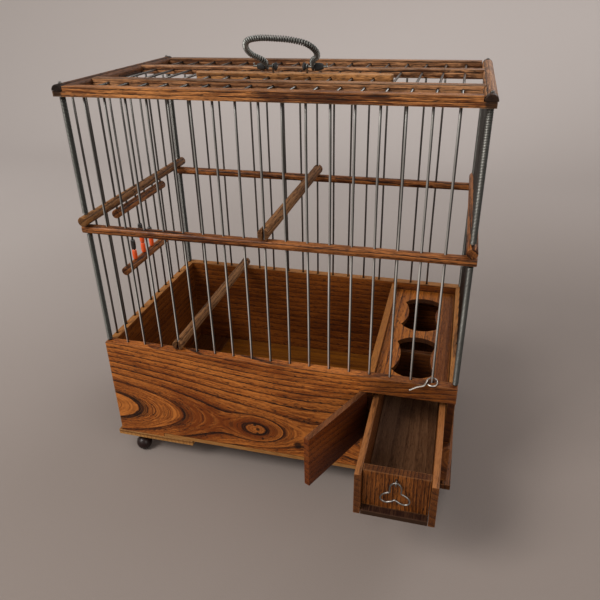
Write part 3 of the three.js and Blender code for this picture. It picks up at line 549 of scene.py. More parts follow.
class Wood:
    """Solid wood: growth rings, pores, end grain, worn arrises and varnish."""

    def __init__(
        self,
        stain: Stain,
        cut: Cut,
        edges: tuple[Vector, Vector] | None = None,
        shades: tuple[Shade, ...] = (),
    ) -> None:
        """Sets out the finish.

        Args:
            stain: Colours of the wood.
            cut: How the board was sawn.
            edges: Lowest and highest corner of a square board, whose arrises are worn.
            shades: Second tones along the board.
        """
        self.stain = stain
        self.cut = cut
        self.edges = edges
        self.shades = shades

    def on_board(self, at: tuple[Signal, Signal, Signal]) -> tuple[Signal, ...]:
        """Place along the grain, across it and through the board, in millimetres.

        Args:
            at: Place in metres.

        Returns:
            The three places.
        """
        grain, across = self.cut.grain.value, self.cut.across.value
        through = 3 - grain - across
        return tuple(at[axis] * (1 / MM) for axis in (grain, across, through))

    def ring_distance(self, sheet: NodeSheet, at: tuple[Signal, Signal, Signal]) -> Signal:
        """Distance from the heart of the log, in millimetres.

        Args:
            sheet: Node sheet.
            at: Place in metres.

        Returns:
            The distance.
        """
        cut = self.cut
        along, across, through = self.on_board(at)
        slow = sheet.vector(along * 0.35, across, through)
        shift = (cut.seed * SEED_STEP[0], cut.seed * SEED_STEP[1], 5.0)
        shifted = sheet.read("ShaderNodeVectorMath", 0, {"operation": "ADD"}, {0: slow, 1: shift})
        wander = (sheet.noise(shifted, 0.022, 1.0) - 0.5) * (2 * cut.waver)
        dashes = sheet.vector(along * 0.1, across * 1.5, through * 1.5)
        ragged = (sheet.noise(dashes, 1.0, 2.0, 0.6) - 0.5) * (0.6 + 0.16 * cut.waver)
        offset = along - cut.start
        depth = through * THROUGH + cut.depth + offset * cut.slope + offset * offset * cut.curve
        aside = across - cut.heart + wander
        distance = (aside * aside + depth * depth).root() + ragged
        for knot in cut.knots:
            u = (along - knot.along) / knot.reach_along
            v = (across - knot.across) / knot.reach_across
            distance = distance + (u * u + v * v).bell() * knot.lift
        return distance

    def figure(self, sheet: NodeSheet, at: tuple[Signal, Signal, Signal]) -> Figure:
        """Rings, streaks and pores at a point.

        Args:
            sheet: Node sheet.
            at: Place in metres.

        Returns:
            The figure.
        """
        cut = self.cut
        distance = self.ring_distance(sheet, at)
        along, across, through = self.on_board(at)
        uneven = sheet.noise(sheet.vector(distance * 0.045, cut.seed, 0.0), 1.0, 1.0)
        if cut.crowding:
            count = (distance * distance - cut.crowding / 2) / cut.crowding + (uneven - 0.5) * 0.5
        else:
            count = distance / cut.ring + uneven * 2.4
        turn = count.part()  # how far through its year the wood grew
        dash = sheet.noise(sheet.vector(along * 0.12, distance * 1.6, through * 1.2), 1.0, 2.0, 0.6)
        thick = sheet.noise(sheet.vector(along * 0.012, distance * 0.06, cut.seed), 1.0, 1.0)
        ring_line = turn.step(0.0, 0.035) * (turn + (0.5 - dash) * 0.34).step(0.05, 0.3, 1.0, 0.0)
        line = (ring_line * thick.step(0.3, 0.6, 0.45, 1.0) * dash.step(0.25, 0.5, 0.5, 1.0)).least(1.0)
        fine = sheet.noise(sheet.vector(along * 0.05, distance * 1.9, through * 1.6), 1.0, 3.0, 0.65)
        pore_at = sheet.vector(along * 0.2, distance * 2.4, through * 2.2)
        pores = sheet.noise(pore_at, 1.0, 1.0, 0.5).step(0.54, 0.66) * turn.step(0.15, 0.9, 1.0, 0.4)
        broad = sheet.noise(sheet.vector(along * 0.008, distance * 0.05, cut.seed), 1.0, 2.0)
        middle, spread = 0.63, self.stain.spread
        tone = (fine * 0.85 + broad * 0.55 - turn * 0.12).step(middle - spread, middle + spread)
        return Figure(at, along, across, through, dash, fine, line, pores, tone)

    def stained(self, sheet: NodeSheet, figure: Figure) -> Signal:
        """Colour of sound wood: tones, patches, ring lines, pores and the hearts of knots.

        Args:
            sheet: Node sheet.
            figure: Grain at the point.

        Returns:
            The colour.
        """
        stain, seed = self.stain, self.cut.seed
        colour = sheet.blend(figure.tone, stain.light, stain.deep)
        if stain.blotch:
            patch_along = figure.along * 0.035 + seed * 7.0
            patch_at = sheet.vector(patch_along, figure.across * 0.11, figure.through * 0.11)
            patch = (sheet.noise(patch_at, 1.0, 2.0, 0.6) * 0.75 + figure.fine * 0.25).step(0.49, 0.63)
            colour = sheet.blend(patch * stain.blotch, colour, tuple(0.5 * c for c in stain.deep))
        colour = sheet.blend((figure.line * stain.line_strength).least(1.0), colour, stain.line)
        colour = sheet.blend(figure.pores * stain.pore_strength, colour, stain.line)
        for eye in self.cut.eyes:
            u = (figure.along - eye.along) / eye.radius
            v = (figure.across - eye.across) / eye.radius
            core = (u * u + v * v + (figure.fine - 0.5) * 1.6).bell().step(0.25, 0.75)
            colour = sheet.blend(core * 0.9, colour, stain.line)
        return colour

    def shaded(self, sheet: NodeSheet, figure: Figure, ends: Signal, colour: Signal) -> Signal:
        """Colour with the board's second tones, some of them painted shade, its dark end grain and a painted
        shade on its upright faces.

        Args:
            sheet: Node sheet.
            figure: Grain at the point.
            ends: Where the end grain shows, 0 to 1.
            colour: Colour of the sound wood.

        Returns:
            The colour.
        """
        stain = self.stain
        for shade in self.shades:
            low, high = sorted((shade.start, shade.end))
            before, after = (0.0, shade.share) if shade.start < shade.end else (shade.share, 0.0)
            ragged = figure.at[shade.axis.value] / MM + (figure.fine - 0.5) * 2.0
            mask = ragged.step(low, high, before, after)
            colour = sheet.blend(mask * (0.7 + 0.3 * figure.fine.step(0.35, 0.6)), colour, shade.colour)
        colour = sheet.blend(ends * stain.end_dark, colour, tuple(0.35 * c for c in stain.deep))
        # Painted shade: upright faces, such as edges and the walls of holes, are darkened towards the line
        # colour.
        if stain.painted_side_shade:
            sides = sheet.facing(Axis.Z.value).step(0.3, 0.8, 1.0, 0.0)
            colour = sheet.blend(sides * stain.painted_side_shade, colour, stain.line)
        return colour

    def worn_arris(self, sheet: NodeSheet, at: tuple[Signal, Signal, Signal]) -> Signal:
        """Share of bare wood near the arrises of a square board.

        Args:
            sheet: Node sheet.
            at: Place in metres.

        Returns:
            The share, 0 to 1.
        """
        low, high = self.edges
        depths = [(high[i] - low[i]) / 2 - abs(at[i] - (high[i] + low[i]) / 2) for i in range(3)]
        middle = depths[0].least(depths[1]).most(depths[0].most(depths[1]).least(depths[2]))
        rub_and_highlight = sheet.noise(sheet.vector(*at), 70.0, 3.0)
        return (middle / MM - rub_and_highlight * 2.0).step(-0.95, 0.0, 1.0, 0.0)

    def tips(self, figure: Figure) -> Signal:
        """Where a square board's two tips are darkened.

        Args:
            figure: Grain at the point.

        Returns:
            The darkening, 0 to 1.
        """
        tip = self.stain.tip
        low, high = (edge[self.cut.grain.value] / MM for edge in self.edges)
        inward = (high - low) / 2 - abs(figure.along - (high + low) / 2)
        return (inward - figure.fine * 3.0).step(tip - 3.0, tip - 1.0, 1.0, 0.0)

    def material(self, name: str) -> bpy.types.Material:
        """Builds the material.

        Args:
            name: Name of the piece that wears it.

        Returns:
            The material.
        """
        stain = self.stain
        sheet = NodeSheet(f"{stain.name}.{name}")
        figure = self.figure(sheet, sheet.place())
        fine, line, pores = figure.fine, figure.line, figure.pores
        ends = sheet.facing(self.cut.grain.value).step(0.75, 0.95)
        colour = self.shaded(sheet, figure, ends, self.stained(sheet, figure))
        gloss = stain.gloss + fine * 0.14 + ends * 0.25 + pores * 0.2
        coat = stain.coat * (1.0 - ends * 0.8)
        if stain.raw_axis is not None:
            raw_face = sheet.facing(stain.raw_axis.value).step(0.75, 0.95)
            raw = raw_face * (0.35 + 0.65 * figure.dash.step(0.3, 0.6)) * (stain.raw * (1.0 - line * 0.6))
            colour = sheet.blend(raw, colour, stain.worn)
            gloss = gloss + raw * 0.2
        if stain.tip and self.edges is not None:
            colour = sheet.blend(self.tips(figure) * 0.9, colour, stain.line)
        if self.edges is not None and stain.wear:
            bare = self.worn_arris(sheet, figure.at) * (stain.wear * (0.15 + 0.85 * fine.step(0.4, 0.6)))
            colour = sheet.blend(bare, colour, stain.worn)
            gloss = gloss + bare * 0.2
            coat = coat * (1.0 - bare * 0.8)
        varied = {
            "Base Color": colour,
            "Roughness": gloss.least(1.0),
            "Coat Weight": coat,
            "Normal": sheet.bump(fine * 0.5 - line * 0.5 - pores * 0.8, WOOD_RELIEF * MM),
        }
        return sheet.surface({"Coat Roughness": 0.2, "IOR": 1.45, "Specular IOR Level": 0.2}, varied)


FRONT_LEFT = (-0.45, -0.893, 0.0)  # side of the wires that keeps a painted highlight, towards the window lamp


@dataclass(frozen=True)
class Wire:
    """Drawn steel wire, dulled by handling, with brown spots.

    bright and dull are its two tones, spot the colour of its rust and spots how much of it there is,
    polish its roughness and metal its bare share. tarnish, when given, is a painted shade colour: the
    wire takes it except on the side that faces the front-left, towards the window lamp, which keeps a
    painted highlight. rubbed gives two heights in metres and how strong that painted highlight is below
    the first and above the second.
    """

    name: str = "steel_wire"
    slot: str = "steel"
    bright: Colour = (0.17, 0.162, 0.15)
    dull: Colour = (0.08, 0.075, 0.07)
    spot: Colour = (0.03, 0.02, 0.014)
    spots: float = 0.3
    polish: float = 0.22
    metal: float = 1.0
    painted_shade_colour: Colour | None = None
    painted_highlight: tuple[float, float, float, float] = (0.0, 1.0, 1.0, 1.0)

    def material(self) -> bpy.types.Material:
        """Builds the material."""
        sheet = NodeSheet(self.name)
        x, y, z = sheet.place()
        at = sheet.vector(x, y, z)
        clouds = sheet.noise(at, 24.0, 2.0, 0.5)
        grime = sheet.noise(at, 420.0, 3.0, 0.65)
        drawn = sheet.noise(sheet.vector(x * 9.0, y * 9.0, z * 0.6), 700.0, 2.0)
        colour = sheet.blend(clouds.step(0.35, 0.68), self.bright, self.dull)
        # Painted highlight and painted shade: the side that faces the front-left keeps the bright tones and
        # the rest is painted dark, with the highlight's strength set by height.
        if self.painted_shade_colour:
            low, high, below, above = self.painted_highlight
            rub_and_highlight = sheet.toward(FRONT_LEFT).step(0.6, 0.96) * z.step(low, high, below, above)
            colour = sheet.blend(rub_and_highlight, self.painted_shade_colour, colour)
        rust = (grime * 0.6 + clouds * 0.4).step(0.54, 0.64) * self.spots
        colour = sheet.blend(rust, colour, self.spot)
        varied = {
            "Base Color": colour,
            "Roughness": (self.polish + clouds * 0.15 + rust * 0.4 + drawn * 0.1).least(1.0),
            "Metallic": self.metal * (1.0 - rust * 0.75),
            "Normal": sheet.bump(drawn * 0.6 + grime * 0.4, WIRE_RELIEF * MM),
        }
        return sheet.surface({}, varied)


@dataclass(frozen=True)
class Enamel:
    """Moulded or painted surface, glossy or matt, with dust and fine scratches.

    gloss is its roughness, coat the weight of its clear coat and shine its level of reflection.
    """

    name: str
    slot: str
    colour: Colour
    dusty: Colour
    gloss: float
    coat: float
    shine: float = 0.5

    def material(self) -> bpy.types.Material:
        """Builds the material."""
        sheet = NodeSheet(self.name)
        at = sheet.vector(*sheet.place())
        clouds = sheet.noise(at, 240.0, 3.0, 0.6)
        scuffs = sheet.noise(at, 1600.0, 2.0, 0.6)
        dust = (clouds * 0.6 + scuffs * 0.4).step(0.45, 0.72) * 0.6
        varied = {
            "Base Color": sheet.blend(dust, self.colour, self.dusty),
            "Roughness": (self.gloss + dust * 0.35).least(1.0),
            "Coat Weight": self.coat * (1.0 - dust),
            "Normal": sheet.bump(scuffs, ENAMEL_RELIEF * MM),
        }
        return sheet.surface({"Coat Roughness": 0.12, "Specular IOR Level": self.shine}, varied)


STEEL = Wire()
# Front wall: steel painted lighter than the other walls as a painted reflection, with a painted highlight on
# the front-left side, full below 0.2 m and half above 0.25 m, and painted shade elsewhere.
PAINTED_HIGHLIGHT_STEEL = Wire(
    "painted_highlight_wire", "steel", (0.76, 0.74, 0.7), (0.5, 0.48, 0.45), (0.1, 0.07, 0.05),
    polish=0.3, metal=0.6, painted_shade_colour=(0.045, 0.042, 0.038), painted_highlight=(0.2, 0.25, 1.0, 0.5),
)
SPRING_STEEL = Wire(
    "spring_steel", "steel", (0.3, 0.305, 0.285), (0.17, 0.17, 0.158), (0.04, 0.036, 0.028),
    spots=0.25, polish=0.3,
)
# Corner sleeves: a painted highlight on the front-left side and painted shade on the rest.
SLEEVE_STEEL = Wire(
    "sleeve_steel", "steel", (0.42, 0.415, 0.385), (0.27, 0.265, 0.245), (0.05, 0.038, 0.026),
    polish=0.32, metal=0.9, painted_shade_colour=(0.075, 0.075, 0.068),
)
PULL_STEEL = Wire(
    "pull_steel", "steel", (0.28, 0.265, 0.25), (0.12, 0.11, 0.1), (0.03, 0.02, 0.015), spots=0.5, polish=0.24
)
LATCH_STEEL = Wire(
    "latch_steel", "steel", (0.62, 0.59, 0.54), (0.4, 0.37, 0.33), (0.1, 0.06, 0.04), spots=0.25
)
RUBBER = Enamel("rubber", "rubber", (0.012, 0.011, 0.01), (0.05, 0.045, 0.04), gloss=0.62, coat=0.0)
ORANGE_BEAD = Enamel(
    "orange_bead", "bead_orange", (0.78, 0.085, 0.01), (0.6, 0.16, 0.06), gloss=0.16, coat=0.7
)
BLACK_BEAD = Enamel(
    "black_bead", "bead_black", (0.012, 0.01, 0.009), (0.06, 0.05, 0.045), gloss=0.16, coat=0.7
)
FOOT_STAIN = Enamel(
    "foot_stain", "foot_stain", (0.012, 0.004, 0.003), (0.025, 0.013, 0.009),
    gloss=0.36, coat=0.12, shine=0.25,
)


# ---------------------------------------------------------------- mesh work

TIP_WIDTH, TIP_LENGTH = 0.55, 0.35  # of a wire's rounded tip, as shares of its radius
BAR_STEP, DOWEL_STEP = 12.0, 9.0  # from ring to ring along bars and dowels
BAR_EASE, DOWEL_EASE = 0.45, 0.5  # how far their ends are eased
BAR_WAVER = 0.08  # greatest unevenness of a bar
DOWEL_LOBES = 3  # high sides of a dowel that is out of round


class Shape:
    """Vertices and faces of one or more closed forms, in millimetres."""

    def __init__(self) -> None:
        """Starts empty."""
        self.points: list[Vector] = []
        self.faces: list[tuple[int, ...]] = []

    def loft(self, rings: list[list[Vector]], closed: bool = False) -> "Shape":
        """Skins rings of equal length, and caps both ends unless the path is closed.

        Args:
            rings: Rings of points, in order along the path.
            closed: Whether the last ring joins the first.

        Returns:
            This shape.
        """
        base, count = len(self.points), len(rings[0])
        for ring in rings:
            self.points.extend(ring)
        spans = len(rings) if closed else len(rings) - 1
        for i in range(spans):
            here, there = base + i * count, base + (i + 1) % len(rings) * count
            for j in range(count):
                k = (j + 1) % count
                self.faces.append((here + j, here + k, there + k, there + j))
        if not closed:
            last = base + (len(rings) - 1) * count
            self.faces.append(tuple(reversed(range(base, base + count))))
            self.faces.append(tuple(range(last, last + count)))
        return self

    def join(self, other: "Shape", move: Matrix | None = None) -> "Shape":
        """Adds another shape.

        Args:
            other: Shape to add.
            move: Where it is put.

        Returns:
            This shape.
        """
        base = len(self.points)
        self.points.extend(move @ p if move else p.copy() for p in other.points)
        self.faces.extend(tuple(base + i for i in f) for f in other.faces)
        return self

    def moved(self, move: Matrix) -> "Shape":
        """A moved copy of this shape."""
        return Shape().join(self, move)

    def corners(self) -> tuple[Vector, Vector]:
        """Lowest and highest corner of its box, in metres."""
        low, high = (Vector([pick(p[i] for p in self.points) for i in range(3)]) for pick in (min, max))
        return low * MM, high * MM


def tube(points: list[Vector], dia: float, sides: int, closed: bool = False) -> Shape:
    """Round wire along points, with softly rounded ends.

    Args:
        points: Middle line.
        dia: Diameter.
        sides: Number of sides.
        closed: Whether the wire is a loop.

    Returns:
        The wire.
    """
    count = len(points)
    out = None
    frames: list[tuple[Vector, Vector, Vector]] = []
    for i in range(count):
        before = points[(i - 1) % count if closed else max(i - 1, 0)]
        after = points[(i + 1) % count if closed else min(i + 1, count - 1)]
        tangent = (after - before).normalized()
        if out is None:
            out = tangent.orthogonal().normalized()
        out = (out - tangent * tangent.dot(out)).normalized()
        frames.append((tangent, out.copy(), tangent.cross(out)))
    twist = 0.0
    if closed:
        tangent, first, across = frames[0]
        carried = (frames[-1][1] - tangent * tangent.dot(frames[-1][1])).normalized()
        twist = math.atan2(carried.dot(across), carried.dot(first))

    def ring(i: int, radius: float, ahead: float) -> list[Vector]:
        """One ring of the wire.

        Args:
            i: Index of its point.
            radius: Its radius.
            ahead: How far it is set ahead of its point.

        Returns:
            The ring's points.
        """
        tangent, side, across = frames[i]
        centre = points[i] + tangent * ahead
        start = -twist * i / count
        angles = [start + 2 * math.pi * s / sides for s in range(sides)]
        return [centre + side * (radius * math.cos(a)) + across * (radius * math.sin(a)) for a in angles]

    r = dia / 2
    rings = [ring(i, r, 0.0) for i in range(count)]
    if not closed:
        first = [ring(0, TIP_WIDTH * r, 0.0), ring(0, r, TIP_LENGTH * r)]
        last = [ring(count - 1, r, -TIP_LENGTH * r), ring(count - 1, TIP_WIDTH * r, 0.0)]
        rings = [*first, *rings[1:-1], *last]
    return Shape().loft(rings, closed)


def bar(
    axis: Axis, start: float, end: float, size: tuple[float, float], round_by: float, seed: int
) -> Shape:
    """Planed bar of rounded square section, its arrises and faces slightly uneven.

    Args:
        axis: Direction of the bar.
        start: Place of its first end along the axis.
        end: Place of its other end.
        size: Its width and height across the axis.
        round_by: Radius of its arrises.
        seed: Seed of the unevenness.

    Returns:
        The bar, centred on its axis.
    """
    draw = Random(seed)
    u, v = axis.sides
    length, ease, facets = end - start, min(BAR_EASE, round_by), 4
    steps = max(4, int(abs(length) / BAR_STEP))
    middle = [(i / steps * length, 0.0) for i in range(1, steps)]
    rings: list[list[Vector]] = []
    for place, inset in [(0.0, ease), (ease, 0.0), *middle, (length - ease, 0.0), (length, ease)]:
        ring: list[Vector] = []
        slack = draw.uniform(-BAR_WAVER, 0.0)
        w, h = (side / 2 - inset + slack for side in size)
        for quarter, (sx, sy) in enumerate(((1, 1), (-1, 1), (-1, -1), (1, -1))):
            r = max(round_by - inset, 0.05) + draw.uniform(0.0, BAR_WAVER)
            for c in range(facets + 1):
                a = quarter * math.pi / 2 + c / facets * math.pi / 2
                x = sx * (w - r) + r * math.cos(a)
                y = sy * (h - r) + r * math.sin(a)
                ring.append(axis.unit * (start + place) + u * x + v * y)
        rings.append(ring)
    return Shape().loft(rings)


def turned(profile: list[tuple[float, float]], sides: int = 32) -> Shape:
    """Profile turned about z.

    Args:
        profile: Pairs of radius and height, from one end to the other.
        sides: Number of sides.

    Returns:
        The turned form.
    """
    angles = [2 * math.pi * s / sides for s in range(sides)]
    return Shape().loft([[Vector((r * math.cos(a), r * math.sin(a), z)) for a in angles] for r, z in profile])


def dowel(axis: Axis, start: float, end: float, dia: float, seed: int, waver: float = 0.1) -> Shape:
    """Wooden dowel with eased ends, slightly out of round.

    Args:
        axis: Direction of the dowel.
        start: Place of its first end along the axis.
        end: Place of its other end.
        dia: Diameter.
        seed: Seed of the unevenness.
        waver: Greatest unevenness.

    Returns:
        The dowel, centred on its axis.
    """
    draw = Random(seed)
    u, v = axis.sides
    ease, sides = DOWEL_EASE, 28
    steps = max(4, int((end - start) / DOWEL_STEP))
    middle = [(start + (end - start) * i / steps, 0.0) for i in range(1, steps)]
    phase = draw.uniform(0, 6.0)
    rings: list[list[Vector]] = []
    for place, inset in [(start, ease), (start + ease, 0.0), *middle, (end - ease, 0.0), (end, ease)]:
        phase += draw.uniform(-0.25, 0.25)
        ring: list[Vector] = []
        for s in range(sides):
            a = 2 * math.pi * s / sides
            flat = waver * (0.5 + 0.5 * math.sin(DOWEL_LOBES * a + phase)) + draw.uniform(0, waver * 0.25)
            r = dia / 2 - inset - flat
            ring.append(axis.unit * place + u * (r * math.cos(a)) + v * (r * math.sin(a)))
        rings.append(ring)
    return Shape().loft(rings)


def helix(path: list[Vector], dia: float, wire: float, curls: float, per_curl: int, sides: int) -> Shape:
    """Wire wound round a path.

    Args:
        path: Evenly spaced points of the middle line.
        dia: Outer diameter of the coil.
        wire: Diameter of the wire.
        curls: Number of turns.
        per_curl: Points in each turn.
        sides: Sides of the wire.

    Returns:
        The coil.
    """
    steps = int(curls * per_curl)
    radius = (dia - wire) / 2
    centres: list[Vector] = []
    out = None
    for i in range(steps + 1):
        t = i / steps * (len(path) - 1)
        k = min(int(t), len(path) - 2)
        at = path[k].lerp(path[k + 1], t - k)
        tangent = (path[min(k + 2, len(path) - 1)] - path[max(k - 1, 0)]).normalized()
        if out is None:
            out = tangent.orthogonal().normalized()
        out = (out - tangent * tangent.dot(out)).normalized()
        a = 2 * math.pi * i / per_curl
        centres.append(at + out * (radius * math.cos(a)) + tangent.cross(out) * (radius * math.sin(a)))
    return tube(centres, wire, sides)


def smooth_path(knots: list[Vector], steps: int) -> list[Vector]:
    """Evenly spaced points of a smooth curve through knots.

    Args:
        knots: Points that the curve passes through.
        steps: Number of spans in the result.

    Returns:
        The points.
    """
    fine: list[Vector] = []
    per_span = 24
    ends = [knots[0] * 2 - knots[1], *knots, knots[-1] * 2 - knots[-2]]
    for a, b, c, d in zip(ends, ends[1:], ends[2:], ends[3:]):
        bend, swing = a * 2 - b * 5 + c * 4 - d, b * 3 - a - c * 3 + d
        for i in range(per_span):
            t = i / per_span
            fine.append((b * 2 + (c - a) * t + bend * t * t + swing * t**3) * 0.5)
    fine.append(knots[-1].copy())
    lengths = [0.0]
    for a, b in zip(fine, fine[1:]):
        lengths.append(lengths[-1] + (b - a).length)
    even: list[Vector] = []
    k = 0
    for i in range(steps + 1):
        want = lengths[-1] * i / steps
        while k < len(fine) - 2 and lengths[k + 1] < want:
            k += 1
        span = lengths[k + 1] - lengths[k]
        even.append(fine[k].lerp(fine[k + 1], (want - lengths[k]) / span if span else 0.0))
    return even


# ---------------------------------------------------------------- dressing


def box_mm(node: str) -> tuple[Vector, Vector, Vector]:
    """Lowest corner, highest corner and middle of a node's box, in millimetres."""
    low, high = (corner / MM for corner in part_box(node))
    return low, high, (low + high) / 2


class Dresser:
    """Makes Blender pieces from shapes and gives carried-over nodes their finish."""

    def __init__(self) -> None:
        """Starts with nothing dressed."""
        self.dressed: list[str] = []

    def piece(
        self,
        name: str,
        shape: Shape,
        material: bpy.types.Material,
        slot: str,
        body: Body,
        replaced: tuple[str, ...] = (),
    ) -> bpy.types.Object:
        """Adds one piece.

        Args:
            name: Name of the piece.
            shape: Its form in millimetres.
            material: Its material.
            slot: Material slot; not used.
            body: Body that it rides on.
            replaced: Nodes that it stands for.

        Returns:
            The new object.
        """
        mesh = bpy.data.meshes.new(name)
        mesh.from_pydata([p * MM for p in shape.points], [], shape.faces)
        mesh.update()
        mesh.polygons.foreach_set("use_smooth", [len(f.vertices) < 5 for f in mesh.polygons])
        mesh.materials.append(material)
        made = bpy.data.objects.new(name, mesh)
        bpy.context.scene.collection.objects.link(made)
        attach(made, body.value)
        if replaced:
            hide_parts(*replaced)
        self.dressed.append(name)
        return made

    def board(
        self,
        node: str,
        stain: Stain,
        cut: Cut,
        ease: float = 0.4,
        shades: tuple[Shade, ...] = (),
        square: bool = True,
    ) -> None:
        """Finishes a board of the frame: eased arrises and solid wood.

        Args:
            node: Name of the node.
            stain: Colours of its wood.
            cut: How it was sawn.
            ease: Radius of its arrises in millimetres.
            shades: Second tones along it.
            square: Whether it lies square to the axes, so that its worn arrises can be found.
        """
        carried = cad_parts[node]
        weld = carried.modifiers.new("joined", "WELD")
        weld.merge_threshold = 0.01 * MM
        flatten = carried.modifiers.new("flat_faces", "DECIMATE")
        flatten.decimate_type = "DISSOLVE"
        flatten.angle_limit = math.radians(1.0)
        eased = carried.modifiers.new("eased_arrises", "BEVEL")
        eased.width = ease * MM
        eased.segments = 2
        eased.limit_method = "ANGLE"
        eased.angle_limit = math.radians(50)
        eased.use_clamp_overlap = True
        material = Wood(stain, cut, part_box(node) if square else None, shades).material(node)
        carried.data.materials.clear()
        carried.data.materials.append(material)
        self.dressed.append(node)

    def bore(self, made: bpy.types.Object, cutter: Shape) -> None:
        """Bores holes through a piece.

        Args:
            made: The piece.
            cutter: Closed form of the holes, in millimetres.
        """
        mesh = bpy.data.meshes.new("borer")
        mesh.from_pydata([p * MM for p in cutter.points], [], cutter.faces)
        tool = bpy.data.objects.new("borer", mesh)
        bpy.context.scene.collection.objects.link(tool)
        boring = made.modifiers.new("bores", "BOOLEAN")
        boring.operation = "DIFFERENCE"
        boring.solver = "EXACT"
        boring.use_self = True
        boring.object = tool
        bored = bpy.data.meshes.new_from_object(made.evaluated_get(bpy.context.evaluated_depsgraph_get()))
        made.modifiers.clear()
        made.data = bored
        bpy.data.objects.remove(tool)
        bpy.data.meshes.remove(mesh)


@dataclass
class SubAssembly:
    """Base of the cage's sub-assemblies; their sizes and places are in millimetres."""

    dresser: Dresser

    def build(self) -> None:
        """Makes and dresses the pieces."""
        raise NotImplementedError


HEART_ASIDE, HEART_DEPTH = 70.0, 25.0  # where a plain sawn board's heart lies from its middle


def board_cut(node: str, grain: Axis, across: Axis, seed: float, ring: float, **extra: float) -> Cut:
    """Plain sawn board of a node, its heart below the board.

    Args:
        node: Name of the node.
        grain: Direction of its grain.
        across: Direction across the grain on its wide face.
        seed: Seed of its figure.
        ring: Width of its rings in millimetres.
        extra: Other fields of the cut.

    Returns:
        The cut.
    """
    middle = box_mm(node)[2]
    values = {"heart": middle[across.value] - HEART_ASIDE, "depth": HEART_DEPTH, "start": middle[grain.value]}
    return Cut(grain, across, ring=ring, seed=seed, **{**values, **extra})


@dataclass
class BaseBox(SubAssembly):
    """Oak base: four boards, foot boards, tray, guide and turned feet."""

    foot_sole: float = 6.8
    foot_ball: float = 14.0
    foot_ball_z: float = 6.9
    foot_neck: float = 7.0
    foot_neck_z: tuple[float, float] = (14.4, 15.4)
    foot_height: float = 18.38

    def front_cut(self) -> Cut:
        """The front board's figure: nested arcs at the left and a knot at the middle."""
        knots = (Knot(-13.0, 50.0, 22.0, 14.0, -13.0),)
        eyes = (
            Eye(-15.5, 55.0, 1.7), Eye(-13.0, 50.5, 1.9), Eye(-13.5, 46.0, 1.5), Eye(-9.0, 41.0, 1.4),
            Eye(22.5, 40.0, 4.2),
        )
        face = box_mm("front_board")[0].y
        return Cut(
            Axis.X, Axis.Z, heart=53.0, depth=28.0 - THROUGH * face, slope=0.24, curve=-0.00108, start=-84.6,
            waver=2.4, seed=1.0, knots=knots, crowding=528.0, eyes=eyes,
        )

    def foot(self, name: str, stain: bpy.types.Material) -> None:
        """One turned ball foot.

        Args:
            name: Name of the node that it stands for.
            stain: Its material.
        """
        middle = box_mm(name)[2]
        sole, ball, neck, top = self.foot_sole / 2, self.foot_ball / 2, self.foot_neck / 2, self.foot_height
        profile = [(sole - 0.8, 0.0), (sole, 0.12)]
        for i in range(1, 15):
            a = -math.pi / 2 + math.pi * i / 15 * 0.93 + 0.25  # from above the sole to below the neck
            profile.append((ball * math.cos(a), self.foot_ball_z + ball * math.sin(a) * 0.985))
        wide, narrow = self.foot_neck_z
        profile += [(neck * 1.02, wide), (neck * 0.96, narrow), (neck, top - 0.2), (neck * 0.97, top)]
        shape = turned(profile).moved(Matrix.Translation((middle.x, middle.y, 0.0)))
        self.dresser.piece(name + ".turned", shape, stain, FOOT_STAIN.slot, Body.CAGE, (name,))

    def build(self) -> None:
        """Dresses the boards and turns the feet."""
        stain = FOOT_STAIN.material()
        d = self.dresser
        # The board grows darker to the right, from 70 to 92 mm along x, over the doorway's head.
        darker_part = (Shade(Axis.X, 70.0, 92.0, 0.75, (0.05, 0.013, 0.003)),)
        d.board("front_board", OAK, self.front_cut(), shades=darker_part)
        d.board("back_board", RED_OAK, board_cut("back_board", Axis.X, Axis.Z, 2.0, 4.5))
        d.board("left_board", RED_OAK, board_cut("left_board", Axis.Y, Axis.Z, 3.0, 5.0))
        d.board("right_board", RED_OAK, board_cut("right_board", Axis.Y, Axis.Z, 4.0, 5.0))
        middle = box_mm("foot_board_left")[2].z
        stained = (Shade(Axis.Z, middle - 0.3, middle + 0.5, 0.85, (0.11, 0.035, 0.007)),)
        cut = board_cut("foot_board_left", Axis.Y, Axis.X, 5.0, 3.5)
        d.board("foot_board_left", PALE_WOOD, cut, shades=stained)
        d.board("foot_board_right", DRAWER_OAK, board_cut("foot_board_right", Axis.Y, Axis.X, 6.0, 3.5))
        d.board("tray_guide", PLAIN_BROWN, board_cut("tray_guide", Axis.Y, Axis.X, 7.0, 3.5))
        d.board("floor_tray", TRAY_WOOD, board_cut("floor_tray", Axis.X, Axis.Y, 8.0, 9.0, waver=2.0), 0.3)
        for end in ("front", "back"):
            for side in ("left", "right"):
                self.foot(f"foot_{end}_{side}", stain)


@dataclass
class FeederBay(SubAssembly):
    """Partition, lid with its two holes and the shelf under the drawer."""

    def build(self) -> None:
        """Dresses the bay's boards."""
        d = self.dresser
        d.board("feeder_partition", PARTITION_OAK, board_cut("feeder_partition", Axis.Y, Axis.Z, 9.0, 5.0))
        low, high, _ = box_mm("feeder_lid")
        # The lid grows darker towards its right end.
        darker_part = (Shade(Axis.X, low.x * 0.45 + high.x * 0.55, high.x, 0.85, (0.09, 0.024, 0.004)),)
        cut = board_cut("feeder_lid", Axis.Y, Axis.X, 10.0, 5.0, waver=2.0)
        d.board("feeder_lid", LID_OAK, cut, shades=darker_part)
        d.board("drawer_shelf", PLAIN_BROWN, board_cut("drawer_shelf", Axis.Y, Axis.X, 11.0, 5.0))


